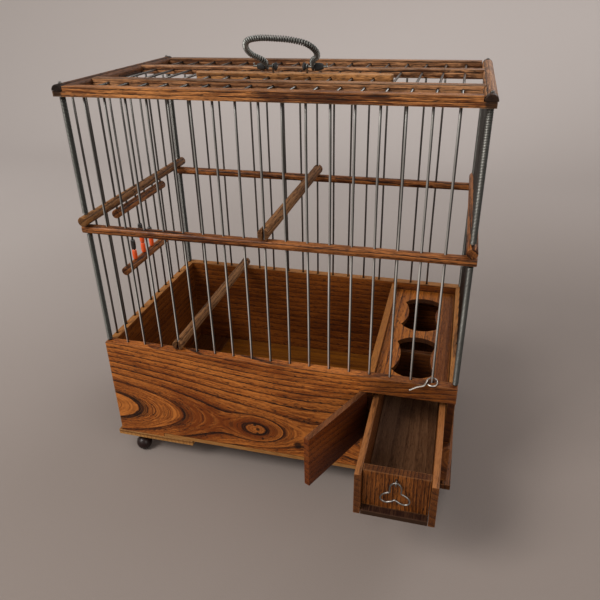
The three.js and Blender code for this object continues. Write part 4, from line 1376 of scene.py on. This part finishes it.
@dataclass
class FeedDrawer(SubAssembly):
    """Feed drawer with its screw eye and three-lobed pull."""

    pull_radius: float = 7.75
    pull_lobe: float = 3.25
    pull_wire: float = 1.3
    eye_wire: float = 1.2
    eye_bore: float = 2.4
    eye_shank: float = 6.0

    def pull_loop(self) -> Shape:
        """Closed wire loop with three lobes, hung from the origin."""
        points = []
        steps, reach = 90, self.pull_radius + self.pull_lobe
        for i in range(steps):
            a = 2 * math.pi * i / steps
            r = self.pull_radius + self.pull_lobe * math.cos(3 * a)
            points.append(Vector((r * math.sin(a), 0.0, r * math.cos(a) - reach)))
        return tube(points, self.pull_wire, 12, True)

    def eye(self) -> Shape:
        """Screw eye: an open ring round the x axis and its shank along y."""
        radius = (self.eye_bore + self.eye_wire) / 2
        angles = [math.radians(172 - 330 * i / 24) for i in range(25)]
        points = [Vector((0.0, -radius * math.cos(a), radius * math.sin(a))) for a in angles]
        points.append(Vector((0.0, radius + 0.2, -0.1)))
        points.append(Vector((0.0, radius + self.eye_shank, 0.0)))
        return tube(points, self.eye_wire, 10)

    def build(self) -> None:
        """Dresses the drawer and bends its pull."""
        d = self.dresser
        for node, seed in (("drawer_left_side", 12.0), ("drawer_right_side", 13.0)):
            d.board(node, DRAWER_SIDE, board_cut(node, Axis.Y, Axis.Z, seed, 4.0))
        d.board("drawer_front", DRAWER_OAK, board_cut("drawer_front", Axis.Z, Axis.X, 14.0, 2.6, waver=2.0))
        d.board("drawer_back", PLAIN_BROWN, board_cut("drawer_back", Axis.X, Axis.Z, 15.0, 4.0))
        front = box_mm("drawer_front")[0].y
        # Painted shade: the floor's front edge, in front of the drawer front, is painted near black.
        painted_shade_ledge = (Shade(Axis.Y, front + 1.0, front - 0.6, 1.0, (0.014, 0.003, 0.001)),)
        cut = board_cut("drawer_floor", Axis.Y, Axis.X, 16.0, 9.0, depth=12.0)
        d.board("drawer_floor", DRAWER_WORN, cut, shades=painted_shade_ledge)
        _, high, middle = box_mm("drawer_pull")
        hung = Matrix.Translation((middle.x, middle.y, high.z - self.pull_wire / 2))
        steel, slot = PULL_STEEL.material(), PULL_STEEL.slot
        pull, eye = self.pull_loop().moved(hung), self.eye().moved(hung)
        d.piece("drawer_pull.wire", pull, steel, slot, Body.DRAWER_PULL, ("drawer_pull",))
        d.piece("drawer_pull_eye.wire", eye, steel, slot, Body.DRAWER, ("drawer_pull_eye",))


@dataclass
class FeederDoor(SubAssembly):
    """Hinged flap in front of the drawer, with its two pins."""

    pin_dia: float = 1.4

    def build(self) -> None:
        """Dresses the flap and makes its pins."""
        d = self.dresser
        low, high, middle = box_mm("feeder_door")
        cut = Cut(Axis.Y, Axis.Z, heart=20.0, depth=30.0, start=middle.y, ring=4.5, seed=17.0)
        free, hinge = low.y, high.y
        # Painted shade: the flap darkens towards its hinge.
        darker_part = (Shade(Axis.Y, free + 0.1 * (hinge - free), hinge, 0.9, (0.022, 0.004, 0.001)),)
        d.board("feeder_door", PAINTED_SHADE_FLAP_OAK, cut, 0.5, darker_part, square=False)
        steel = STEEL.material()
        for node in ("door_pin_top", "door_pin_bottom"):
            low, high, middle = box_mm(node)
            line = [Vector((middle.x, middle.y, z)) for z in (low.z, middle.z, high.z)]
            d.piece(node + ".wire", tube(line, self.pin_dia, 12), steel, STEEL.slot, Body.CAGE, (node,))


@dataclass
class Latch(SubAssembly):
    """Hook bent from one wire, looped round the foot of the last front wire.

    knee and tip are places on the flat hook, to the left of that wire and in front of it. foot is the
    point that the hook is tilted about, wire_line how far behind it the wire stands, clear the play
    round the wire and tilt in degrees.
    """

    wire: float = 1.3
    eye_width: float = 7.8
    eye_length: float = 8.6
    knee: tuple[float, float] = (5.5, 6.8)
    tip: tuple[float, float] = (16.0, 13.8)
    tilt: float = 10.0
    foot: tuple[float, float, float] = (128.0, -50.0, 120.95)
    wire_line: float = 5.3
    clear: float = 0.45

    def hook(self) -> Shape:
        """The hook lying flat, with the upright wire at the origin."""
        room = WIRE / 2 + self.clear + self.wire / 2
        wide, long = self.eye_width / 2, self.eye_length / 2
        tip, knee = (Vector((-x, -y, 0.0)) for x, y in (self.tip, self.knee))
        knots = [tip, (tip + knee) / 2 + Vector((0.0, self.wire / 2, 0.0)), knee]
        for i in range(13):
            a = math.radians(155 - 295 * i / 12)
            knots.append(Vector((wide * math.cos(a), room - long + long * math.sin(a), 0.0)))
        return tube(smooth_path(knots, 80), self.wire, 12)

    def build(self) -> None:
        """Bends the hook."""
        lean = Matrix.Rotation(math.radians(self.tilt), 4, "X")
        shape = self.hook().moved(Matrix.Translation((0.0, self.wire_line, 0.0)))
        shape = shape.moved(Matrix.Translation(self.foot) @ lean)
        steel = LATCH_STEEL.material()
        self.dresser.piece("latch_hook.wire", shape, steel, LATCH_STEEL.slot, Body.LATCH, ("latch_hook",))


@dataclass
class WireWalls(SubAssembly):
    """Upright wires of the four walls and the middle rails that they run through."""

    front_y: float = -44.7
    back_y: float = 122.7
    bottom: float = 110.0
    top: float = 323.6
    slack: float = 0.22
    end_rail_z: float = 222.0
    end_rail_size: tuple[float, float] = (7.5, 6.5)
    end_rail_round: float = 2.4
    end_rail_reach: float = 149.0
    side_rail_y: float = 40.0
    side_rail_z: float = 229.55
    side_rail_dia: float = 8.0
    side_rail_reach: float = 91.0

    def upright(self, x: float, y: float, draw: Random) -> Shape:
        """One wire, a hair out of true.

        Args:
            x: Place of its middle line.
            y: Place of its middle line.
            draw: Source of its unevenness.

        Returns:
            The wire.
        """
        points = []
        bow = Vector((draw.uniform(-1, 1), draw.uniform(-1, 1), 0.0)) * self.slack
        for i in range(9):
            t = i / 8
            height = self.bottom + (self.top - self.bottom) * t
            points.append(Vector((x, y, height)) + bow * math.sin(2 * math.pi * t))
        return tube(points, WIRE, 12)

    def wall(
        self, name: str, places: list[tuple[float, float]], node: str, seed: int, steel: bpy.types.Material
    ) -> None:
        """The wires of one wall.

        Args:
            name: Name of the piece.
            places: Places of its wires.
            node: Node that they stand for.
            seed: Seed of their unevenness.
            steel: Their material.
        """
        draw = Random(seed)
        shape = Shape()
        for x, y in places:
            shape.join(self.upright(x, y, draw))
        self.dresser.piece(name, shape, steel, STEEL.slot, Body.CAGE, (node,))

    def rail(self, wall: str, shape: Shape, axis: Axis, at: Vector, seed: int) -> None:
        """One middle rail.

        Args:
            wall: Its wall.
            shape: The rail, centred on the origin.
            axis: Its direction.
            at: Its middle.
            seed: Seed of its grain.
        """
        name = f"{wall}_mid_rail"
        shape = shape.moved(Matrix.Translation(at))
        heart = at.z - 22.0
        cut = Cut(axis, Axis.Z, heart=heart, depth=9.0, slope=0.02, ring=2.4, waver=1.6, seed=float(seed))
        edges = shape.corners() if axis is Axis.X else None
        stain = OLIVE_RAIL_OAK if wall == "left" else RAIL_OAK
        wood = Wood(stain, cut, edges).material(name)
        self.dresser.piece(name, shape, wood, stain.slot, Body.CAGE, (f"{wall}_grid",))

    def build(self) -> None:
        """Strings the walls and puts in their rails."""
        bright, steel = PAINTED_HIGHLIGHT_STEEL.material(), STEEL.material()
        across = [PITCH * k for k in range(-8, 9)]
        along = [MIDDLE_Y + PITCH * (k + 0.5) for k in range(-5, 5)]
        fixed = [y for y in along if y not in DOOR_WIRES]
        # The front wall's wires wear the painted reflection and painted highlight.
        self.wall("front_wires", [(x, self.front_y) for x in across], "front_grid", 21, bright)
        self.wall("back_wires", [(x, self.back_y) for x in across], "back_grid", 22, steel)
        self.wall("right_wires", [(SIDE_X, y) for y in along], "right_grid", 23, steel)
        self.wall("left_wires", [(-SIDE_X, y) for y in fixed], "left_grid", 24, steel)
        reach = self.end_rail_reach
        for wall, y, seed in (("front", self.front_y, 31), ("back", self.back_y, 32)):
            shape = bar(Axis.X, -reach, reach, self.end_rail_size, self.end_rail_round, seed)
            self.rail(wall, shape, Axis.X, Vector((0, y, self.end_rail_z)), seed)
        reach = self.side_rail_reach
        for wall, x, seed in (("left", -SIDE_X, 33), ("right", SIDE_X, 34)):
            shape = dowel(Axis.Y, -reach, reach, self.side_rail_dia, seed)
            self.rail(wall, shape, Axis.Y, Vector((x, self.side_rail_y, self.side_rail_z)), seed)


@dataclass
class CornerPosts(SubAssembly):
    """Steel corner posts, each with two close-wound sleeves."""

    rod: float = 2.4
    sleeve: float = 4.6
    sleeve_wire: float = 0.95
    spans: tuple[tuple[float, float], ...] = ((120.3, 218.3), (234.0, 321.7))

    def post(self, name: str, steel: bpy.types.Material, spring: bpy.types.Material) -> None:
        """One corner post.

        Args:
            name: Name of the node that it stands for.
            steel: Material of its rod.
            spring: Material of its sleeves.
        """
        low, high, middle = box_mm(name)
        x, y = middle.x, middle.y
        line = [Vector((x, y, z)) for z in (low.z, middle.z, high.z - 1.0, high.z)]
        d = self.dresser
        d.piece(name + ".rod", tube(line, self.rod, 14), steel, STEEL.slot, Body.CAGE, (name,))
        coils, wire = Shape(), self.sleeve_wire
        for bottom, top in self.spans:
            length = top - bottom
            path = [Vector((x, y, bottom + wire / 2 + (length - wire) * i / 8)) for i in range(9)]
            coils.join(helix(path, self.sleeve, wire, length / wire - 1, 10, 5))
        d.piece(name + ".sleeves", coils, spring, SLEEVE_STEEL.slot, Body.CAGE, (name,))

    def build(self) -> None:
        """Makes the four posts."""
        steel, spring = STEEL.material(), SLEEVE_STEEL.material()
        for end in ("front", "back"):
            for side in ("left", "right"):
                self.post(f"corner_post_{end}_{side}", steel, spring)


@dataclass
class TopFrame(SubAssembly):
    """Top rails, cross rails, handle board and the wires across the top."""

    wire_z: float = 325.6
    wire_span: tuple[float, float] = (-45.7, 123.7)
    back_rail_y: float = 71.0
    rail_depth: float = 8.0
    rail_reach: float = 142.2
    rail_z: tuple[float, float] = (322.0, 329.0)
    side_dia: float = 8.4
    side_z: float = 325.9
    side_lap: float = 8.4
    side_ease: float = 0.5
    bore: float = 2.5

    def half_round(self, x: float, start: float, end: float) -> Shape:
        """Upper half of a side rail's end, from its tip to the full dowel.

        Args:
            x: Its middle line.
            start: Place along y of its eased face.
            end: Place of its other face.

        Returns:
            The half-round end.
        """
        rings = []
        for place, inset in ((start, self.side_ease), (start + self.side_ease, 0.0), (end, 0.0)):
            r = self.side_dia / 2 - inset
            arc = [math.pi * i / 14 for i in range(14, -1, -1)]
            rings.append([Vector((x + r * math.cos(a), place, self.side_z + r * math.sin(a))) for a in arc])
        return Shape().loft(rings)

    def side_rail(self, side: str, x: float, stain: Stain, seed: int, bores: tuple[float, ...]) -> None:
        """Round side rail, halved over the ends of the front and back rails.

        Args:
            side: Its side.
            x: Its middle line.
            stain: Colours of its wood.
            seed: Seed of its grain.
            bores: Places of the holes through it.
        """
        name = f"{side}_top_rail"
        low, high, _ = box_mm(name)
        shape = dowel(Axis.Y, low.y + self.side_lap, high.y - self.side_lap, self.side_dia, seed)
        shape = shape.moved(Matrix.Translation((x, 0.0, self.side_z)))
        half = self.side_lap + 0.3  # each half-round end reaches a little into the dowel
        for start, end in ((low.y, low.y + half), (high.y - half, high.y)):
            shape.join(self.half_round(x, start, end))
        cut = Cut(Axis.Y, Axis.Z, heart=305.0, depth=8.0, ring=2.4, waver=1.5, seed=float(seed))
        wood = Wood(stain, cut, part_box(name)).material(name)
        made = self.dresser.piece(name + ".dowel", shape, wood, stain.slot, Body.CAGE, (name,))
        if bores:
            cutter = Shape()
            for y in bores:
                line = [Vector((x, y, self.side_z + z)) for z in (-9, 0, 9)]
                cutter.join(tube(line, self.bore, 14))
            self.dresser.bore(made, cutter)

    def build(self) -> None:
        """Dresses the rails and strings the top."""
        d = self.dresser
        for node, seed in (("front_top_rail", 41), ("back_top_rail", 42), ("front_cross_rail", 43)):
            stain = TIPPED_OAK if node == "front_top_rail" else TOP_OAK
            cut = board_cut(node, Axis.X, Axis.Z, float(seed), 2.6, waver=1.6, depth=9.0)
            d.board(node, stain, cut, 0.6)
        cut = board_cut("handle_board", Axis.X, Axis.Y, 44.0, 3.4, waver=1.6, depth=9.0)
        d.board("handle_board", HANDLE_OAK, cut, 0.6)
        # The left side rail wears painted shade.
        self.side_rail("left", -SIDE_X, PAINTED_SHADE_TOP_OAK, 45, DOOR_WIRES)
        self.side_rail("right", SIDE_X, TIPPED_TOP_OAK, 46, ())
        reach, depth, (bottom, top) = self.rail_reach, self.rail_depth, self.rail_z
        shape = bar(Axis.X, -reach, reach, (depth, top - bottom), 0.7, 47)
        shape = shape.moved(Matrix.Translation((0.0, self.back_rail_y, (bottom + top) / 2)))
        cut = Cut(Axis.X, Axis.Z, heart=305.0, depth=8.0, ring=2.6, waver=1.6, seed=47.0)
        low = Vector((-reach, self.back_rail_y - depth / 2, bottom)) * MM
        high = Vector((reach, self.back_rail_y + depth / 2, top)) * MM
        wood = Wood(TOP_OAK, cut, (low, high)).material("back_cross_rail")
        d.piece("back_cross_rail", shape, wood, TOP_OAK.slot, Body.CAGE, ("top_grid",))
        wires = Shape()
        front, back = self.wire_span
        for k in range(-8, 9):
            line = [Vector((PITCH * k, y, self.wire_z)) for y in (front, MIDDLE_Y, back)]
            wires.join(tube(line, WIRE, 12))
        d.piece("top_wires", wires, STEEL.material(), STEEL.slot, Body.CAGE, ("top_grid",))


@dataclass
class SideDoor(SubAssembly):
    """Lift-up door of four wires in a round bar, its lintel and its beads."""

    bar_dia: float = 7.6
    bar_z: float = 166.0
    x: float = -SIDE_X
    bead_hole: float = 1.25

    def round_bar(self, name: str, node: str, z: float, seed: int, body: Body) -> None:
        """Bored bar of the door or its lintel.

        Args:
            name: Name of the piece.
            node: Node that it stands for.
            z: Height of its middle line.
            seed: Seed of its grain and unevenness.
            body: Body that it rides on.
        """
        low, high, _ = box_mm(node)
        shape = dowel(Axis.Y, low.y, high.y, self.bar_dia, seed).moved(Matrix.Translation((self.x, 0.0, z)))
        cut = Cut(Axis.Y, Axis.Z, heart=z - 22, depth=8.0, ring=2.4, waver=1.5, seed=float(seed))
        wood = Wood(RAIL_OAK, cut).material(name)
        self.dresser.piece(name, shape, wood, RAIL_OAK.slot, body, (node,))

    def bead(self, radius: float, tall: float) -> Shape:
        """Flattened glass bead with a hole, about z from its underside.

        Args:
            radius: Its outer radius.
            tall: Its height.

        Returns:
            The bead.
        """
        profile = []
        for i in range(17):
            a = -math.pi / 2 + math.pi * i / 16
            belly = (radius - self.bead_hole) * abs(math.cos(a)) ** 0.6
            profile.append((self.bead_hole + belly, tall / 2 + tall / 2 * math.sin(a)))
        return turned(profile, 24)

    def build(self) -> None:
        """Makes the bar, wires, lintel and beads."""
        self.round_bar("side_door.bar", "side_door", self.bar_z, 51, Body.SIDE_DOOR)
        low, high, middle = box_mm("side_door")
        wires = Shape()
        for y in DOOR_WIRES:
            wires.join(tube([Vector((self.x, y, z)) for z in (low.z, middle.z, high.z)], WIRE, 12))
        steel = STEEL.material()
        self.dresser.piece("side_door.wires", wires, steel, STEEL.slot, Body.SIDE_DOOR, ("side_door",))
        lintel_z = box_mm("side_door_lintel")[2].z
        self.round_bar("side_door_lintel.dowel", "side_door_lintel", lintel_z, 52, Body.CAGE)
        finishes = {
            "orange": (ORANGE_BEAD.material(), ORANGE_BEAD.slot),
            "black": (BLACK_BEAD.material(), BLACK_BEAD.slot),
        }
        for node in sorted(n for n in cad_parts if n.startswith("bead_")):
            low, high, middle = box_mm(node)
            shape = self.bead((high.x - low.x) / 2, high.z - low.z)
            shape = shape.moved(Matrix.Translation((middle.x, middle.y, low.z)))
            glass, slot = finishes[node.split("_")[1]]
            self.dresser.piece(node + ".glass", shape, glass, slot, Body.SIDE_DOOR, (node,))


@dataclass
class Perches(SubAssembly):
    """Two round perches whose slotted ends grip the wires."""

    dia: float = 8.9
    slot: float = 2.4
    slot_depth: float = 4.4
    ease: float = 0.4

    def cheek(self, side: float, start: float, end: float) -> Shape:
        """One cheek beside the slot: what a flat cut leaves of the round stick.

        Args:
            side: Sign of its x.
            start: Place along y of its eased tip.
            end: Place of its root.

        Returns:
            The cheek, about the stick's middle line.
        """
        inward = 1.0 if end > start else -1.0
        rings = []
        for place, inset in ((start, self.ease), (start + inward * self.ease, 0.0), (end, 0.0)):
            r = self.dia / 2 - inset
            top = math.acos(self.slot / 2 / r)
            arc = [-top + 2 * top * i / 12 for i in range(13)]
            ring = [Vector((side * r * math.cos(a), place, r * math.sin(a))) for a in arc]
            rings.append(ring if side * inward < 0 else ring[::-1])
        return Shape().loft(rings)

    def perch(self, node: str, body: Body, seed: int) -> None:
        """One perch: a dowel that ends in two cheeks either side of the wire.

        Args:
            node: Node that it stands for.
            body: Body that it rides on.
            seed: Seed of its unevenness.
        """
        low, high, middle = box_mm(node)
        shape = dowel(Axis.Y, low.y + self.slot_depth, high.y - self.slot_depth, self.dia, seed, 0.25)
        root = self.slot_depth + 0.6  # the cheeks reach a little into the dowel
        for start, end in ((low.y, low.y + root), (high.y, high.y - root)):
            for side in (-1.0, 1.0):
                shape.join(self.cheek(side, start, end))
        shape = shape.moved(Matrix.Translation((middle.x, 0.0, middle.z)))
        cut = Cut(Axis.Y, Axis.Z, heart=middle.z - 12, depth=6.0, ring=2.0, waver=1.8, seed=float(seed))
        wood = Wood(PERCH_WOOD, cut).material(node)
        self.dresser.piece(node + ".stick", shape, wood, PERCH_WOOD.slot, body, (node,))

    def build(self) -> None:
        """Makes both perches."""
        self.perch("upper_perch", Body.UPPER_PERCH, 61)
        self.perch("lower_perch", Body.LOWER_PERCH, 62)


@dataclass
class CarryHandle(SubAssembly):
    """Bent wire bail in a wound spring, on two screw eyes with pins and rubber grommets.

    lean is in degrees, towards the front. loop is the width of the bail's two end loops and
    foot_clear the bare wire above each. The bail is bent out of true: push is how far its top is
    pushed to the left, slope how the top slopes, rise how far it is raised and spread its widening.
    """

    pivot: tuple[float, float, float] = (0.0, 34.5, 333.5)
    lean: float = 52.0
    loop: float = 4.3
    foot_x: float = 18.0
    half_width: float = 24.4
    height: float = 34.5
    spring_wire: float = 1.3
    spring: float = 4.6
    curl_pitch: float = 1.8
    push: float = 3.0
    slope: float = 0.1
    rise: float = 0.5
    spread: float = 1.04
    foot_clear: float = 1.2
    pin: float = 1.6
    tail_wire: float = 0.9
    screw_x: float = 13.3
    screw_wire: float = 1.3
    screw_depth: float = 9.4
    grommet: float = 6.2

    def bail_path(self) -> list[Vector]:
        """Middle line of the bail in its own plane, x across and z up."""
        w, h, foot = self.half_width, self.height, self.loop / 2
        side = [
            (self.foot_x, foot),
            (self.foot_x + 1.2, foot + self.foot_clear + self.spring),
            (w - 0.6, h * 0.42),
            (w, h * 0.66),
            (w * 0.82, h * 0.88),
            (w * 0.42, h * 0.985),
        ]
        knots = [Vector((x, 0, z)) for x, z in side] + [Vector((0, 0, h))]
        knots += [Vector((-x, 0, z)) for x, z in reversed(side)]
        for knot in knots[2:-2]:
            up = knot.z / h
            knot.z += (self.rise - self.slope * knot.x) * up
            knot.x = self.spread * knot.x - self.push * up
        return smooth_path(knots, 160)

    def screw(self, sign: float, left: float, right: float) -> Shape:
        """Screw eye with the pin that is fast in it and the pin's curled tail.

        Args:
            sign: Sign of its x.
            left: Place along x of the pin's left end.
            right: Place of its right end.

        Returns:
            The eye and the pin.
        """
        _, y, z = self.pivot
        x, r = sign * self.screw_x, (self.pin + self.screw_wire) / 2 + 0.1
        angles = [math.radians(-75 + 330 * i / 20) for i in range(21)]
        line = [Vector((x, y + r * math.cos(a), z + r * math.sin(a))) for a in angles]
        line += [Vector((x, y, z - r - 0.5)), Vector((x, y, z - self.screw_depth))]
        shape = tube(line, self.screw_wire, 10)
        shape.join(tube([Vector((at, y, z)) for at in (left, (left + right) / 2, right)], self.pin, 12))
        outer = max(abs(left), abs(right))
        curl = [Vector((sign * (outer - self.tail_wire), y, z))]
        for i in range(9):
            a = math.radians(-90 + 30 * i)
            curl.append(Vector((sign * (outer - 0.6), y + math.cos(a), z + 1.0 + math.sin(a))))
        return shape.join(tube(curl, self.tail_wire, 8))

    def fixings(self) -> None:
        """Screw eyes, pins and grommets."""
        d = self.dresser
        steel, rubber = SPRING_STEEL.material(), RUBBER.material()
        for side, sign, seed in (("left", -1.0, 8), ("right", 1.0, 7)):
            node = f"handle_pivot_{side}"
            low, high, _ = box_mm(node)
            shape = self.screw(sign, low.x, high.x)
            d.piece(node + ".wire", shape, steel, SPRING_STEEL.slot, Body.CAGE, (node,))
            for place, outward in (("inner", 0.0), ("outer", sign)):
                node = f"grommet_{place}_{side}"
                low, high, middle = box_mm(node)
                turn = Matrix.Rotation(math.pi / 2, 4, "Y")
                move = Matrix.Translation((middle.x, *self.pivot[1:])) @ turn
                shape = self.cut_tubing(high.x - low.x, outward, seed).moved(move)
                d.piece(node + ".ring", shape, rubber, RUBBER.slot, Body.CAGE, (node,))

    def cut_tubing(self, wide: float, outward: float, seed: int) -> Shape:
        """Short length of rubber tubing, knife-cut askew and narrowed outwards.

        Args:
            wide: Its length.
            outward: Sign of the end that is narrowed, or 0.
            seed: Seed of its unevenness.

        Returns:
            The tubing, about z.
        """
        draw = Random(seed)
        r, bore, sides, half = self.grommet / 2, self.pin / 2, 26, wide / 2
        skew = draw.uniform(0.1, 0.3) * min(wide, 3.0)
        phase = draw.uniform(0, 6)
        edge = [(bore, half), (r - 0.8, half), (r - 0.15, half - 0.35), (r, half - 0.8)]
        profile = [*((radius, -z) for radius, z in edge), (r, 0.0), *reversed(edge)]
        rings = []
        for radius, z in profile:
            outside = radius > bore
            narrow = 1.0 - 0.3 * max(0.0, outward * z / half) * outside
            ring = []
            for s in range(sides):
                a = 2 * math.pi * s / sides
                reach = radius * narrow * (1.0 - 0.09 * (1 + math.sin(3 * a + phase + z * 0.4)) * outside)
                askew = skew * abs(math.cos(a + phase)) * z / half * 0.5
                ring.append(Vector((reach * math.cos(a), reach * math.sin(a), z - askew)))
            rings.append(ring)
        return Shape().loft(rings)

    def build(self) -> None:
        """Bends the bail and winds its spring."""
        lean = Matrix.Translation(self.pivot) @ Matrix.Rotation(math.radians(self.lean), 4, "X")
        path = self.bail_path()
        shape = tube(path, WIRE, 12)
        r = self.loop / 2
        angles = [2 * math.pi * i / 28 for i in range(28)]
        for x in (-self.foot_x, self.foot_x):
            loop = [Vector((x, r * math.cos(a), r * math.sin(a))) for a in angles]
            shape.join(tube(loop, WIRE, 12, True))
        bail, d = shape.moved(lean), self.dresser
        d.piece("handle_wire.bail", bail, STEEL.material(), STEEL.slot, Body.HANDLE, ("handle_wire",))
        total = sum((b - a).length for a, b in zip(path, path[1:]))
        skip = round(self.foot_clear / total * (len(path) - 1))
        curls = (total - 2 * self.foot_clear) / self.curl_pitch
        coil = helix(path[skip : len(path) - skip], self.spring, self.spring_wire, curls, 14, 7).moved(lean)
        steel = SPRING_STEEL.material()
        d.piece("handle_spring.coil", coil, steel, SPRING_STEEL.slot, Body.HANDLE, ("handle_spring",))
        self.fixings()


# ---------------------------------------------------------------- studio


@dataclass(frozen=True)
class Lamp:
    """Soft square lamp; place and side in metres, power in watts."""

    name: str
    at: tuple[float, float, float]
    side: float
    power: float
    colour: Colour


@dataclass
class Studio:
    """Pale floor and backdrop, soft lamps and the camera of the photograph; lengths in metres.

    The camera's heading is from +Y towards -X, its dip below the level and its roll about its own
    line of sight, all in degrees.
    """

    # ground and backdrop are one cloth's colour on the floor and up the backdrop; their difference is painted
    # shade and painted light.
    ground: Colour = (0.215, 0.178, 0.158)
    backdrop: Colour = (0.47, 0.425, 0.405)
    sky: Colour = (1.0, 0.97, 0.94)
    sky_strength: float = 0.42
    half_width: float = 3.0
    front: float = -2.5
    bend: float = 0.9
    bend_radius: float = 0.5
    top: float = 2.6
    aim: tuple[float, float, float] = (0.0, 0.03, 0.17)
    lamps: tuple[Lamp, ...] = (
        Lamp("window", (-1.0, -1.1, 1.5), 0.8, 34.0, (1.0, 0.97, 0.93)),
        Lamp("fill", (1.4, -0.9, 0.9), 1.2, 9.0, (1.0, 0.95, 0.9)),
        Lamp("rear", (0.7, 1.1, 1.3), 0.8, 9.0, (0.95, 0.97, 1.0)),
    )
    camera_at: tuple[float, float, float] = (0.129498, -0.425526, 0.389134)
    heading: float = 15.2642
    dip: float = 28.0857
    roll: float = -1.2138
    lens: float = 35.71

    def cloth(self) -> bpy.types.Material:
        """Pale cloth of the floor and the backdrop, with painted light and shade across it."""
        sheet = NodeSheet("pale_ground")
        x, y, z = sheet.place()
        at = sheet.vector(x, y, z)
        soft = sheet.noise(at, 1.4, 1.0) - 0.5
        weave = sheet.noise(at, 900.0, 2.0)
        # Painted light and shade: the cloth is lighter up and back and to the left, darker on the floor and
        # to the right.
        rise = (y * 0.75 + z - x * 0.55 + soft * 0.5).step(-0.2, 1.35)
        varied = {
            "Base Color": sheet.blend(rise, self.ground, self.backdrop),
            "Roughness": 0.85 + weave * 0.1,
            "Normal": sheet.bump(weave, CLOTH_RELIEF * MM),
        }
        return sheet.surface({}, varied)

    def sweep(self) -> None:
        """Floor that curves up into the backdrop."""
        r = self.bend_radius
        angles = [math.pi / 2 * i / 12 for i in range(1, 13)]
        curve = [(self.bend + r * math.sin(a), r - r * math.cos(a)) for a in angles]
        profile = [(self.front, 0.0), (self.bend, 0.0), *curve, (self.bend + r, self.top)]
        points = [(x, y, z) for y, z in profile for x in (-self.half_width, self.half_width)]
        faces = [(i, i + 1, i + 3, i + 2) for i in range(0, len(points) - 2, 2)]
        mesh = bpy.data.meshes.new("ground")
        mesh.from_pydata(points, [], faces)
        mesh.polygons.foreach_set("use_smooth", [True] * len(faces))
        mesh.materials.append(self.cloth())
        ground = bpy.data.objects.new("ground", mesh)
        bpy.context.scene.collection.objects.link(ground)

    def light(self, lamp: Lamp) -> None:
        """Sets up one lamp.

        Args:
            lamp: The lamp.
        """
        light = bpy.data.lights.new(lamp.name, "AREA")
        light.size = lamp.side
        light.energy = lamp.power
        light.color = lamp.colour
        made = bpy.data.objects.new(lamp.name, light)
        made.location = lamp.at
        made.rotation_euler = (Vector(self.aim) - Vector(lamp.at)).to_track_quat("-Z", "Y").to_euler()
        bpy.context.scene.collection.objects.link(made)

    def camera(self) -> None:
        """Camera at the photograph's place and angle."""
        data = bpy.data.cameras.new("camera")
        data.lens = self.lens
        data.sensor_width = 36.0
        data.clip_start = 0.01
        made = bpy.data.objects.new("camera", data)
        turn = Matrix.Rotation(math.radians(self.heading), 4, "Z")
        turn = turn @ Matrix.Rotation(math.radians(90.0 - self.dip), 4, "X")
        turn = turn @ Matrix.Rotation(math.radians(self.roll), 4, "Z")
        made.matrix_world = Matrix.Translation(self.camera_at) @ turn
        bpy.context.scene.collection.objects.link(made)
        bpy.context.scene.camera = made

    def build(self) -> None:
        """Sets up the world, the ground, the lamps and the camera."""
        scene = bpy.context.scene
        scene.view_settings.view_transform = "Standard"
        world = bpy.data.worlds.new("studio")
        world.use_nodes = True
        back = world.node_tree.nodes["Background"]
        back.inputs["Color"].default_value = (*self.sky, 1.0)
        back.inputs["Strength"].default_value = self.sky_strength
        scene.world = world
        self.sweep()
        for lamp in self.lamps:
            self.light(lamp)
        self.camera()
        log.info("Studio: ground, %d lamps and the camera", len(self.lamps))


def main() -> None:
    """Builds the studio and the cage, one sub-assembly after another."""
    logging.basicConfig(level=logging.INFO, format="%(name)s %(message)s")
    Studio().build()
    dresser = Dresser()
    parts = (
        BaseBox, FeederBay, FeedDrawer, FeederDoor, Latch, WireWalls, CornerPosts, TopFrame, SideDoor,
        Perches, CarryHandle,
    )
    for part in parts:
        before = len(dresser.dressed)
        part(dresser).build()
        for name in dresser.dressed[before:]:
            log.info("%s: %s", part.__name__, name)


if __name__ == "__main__":
    main()
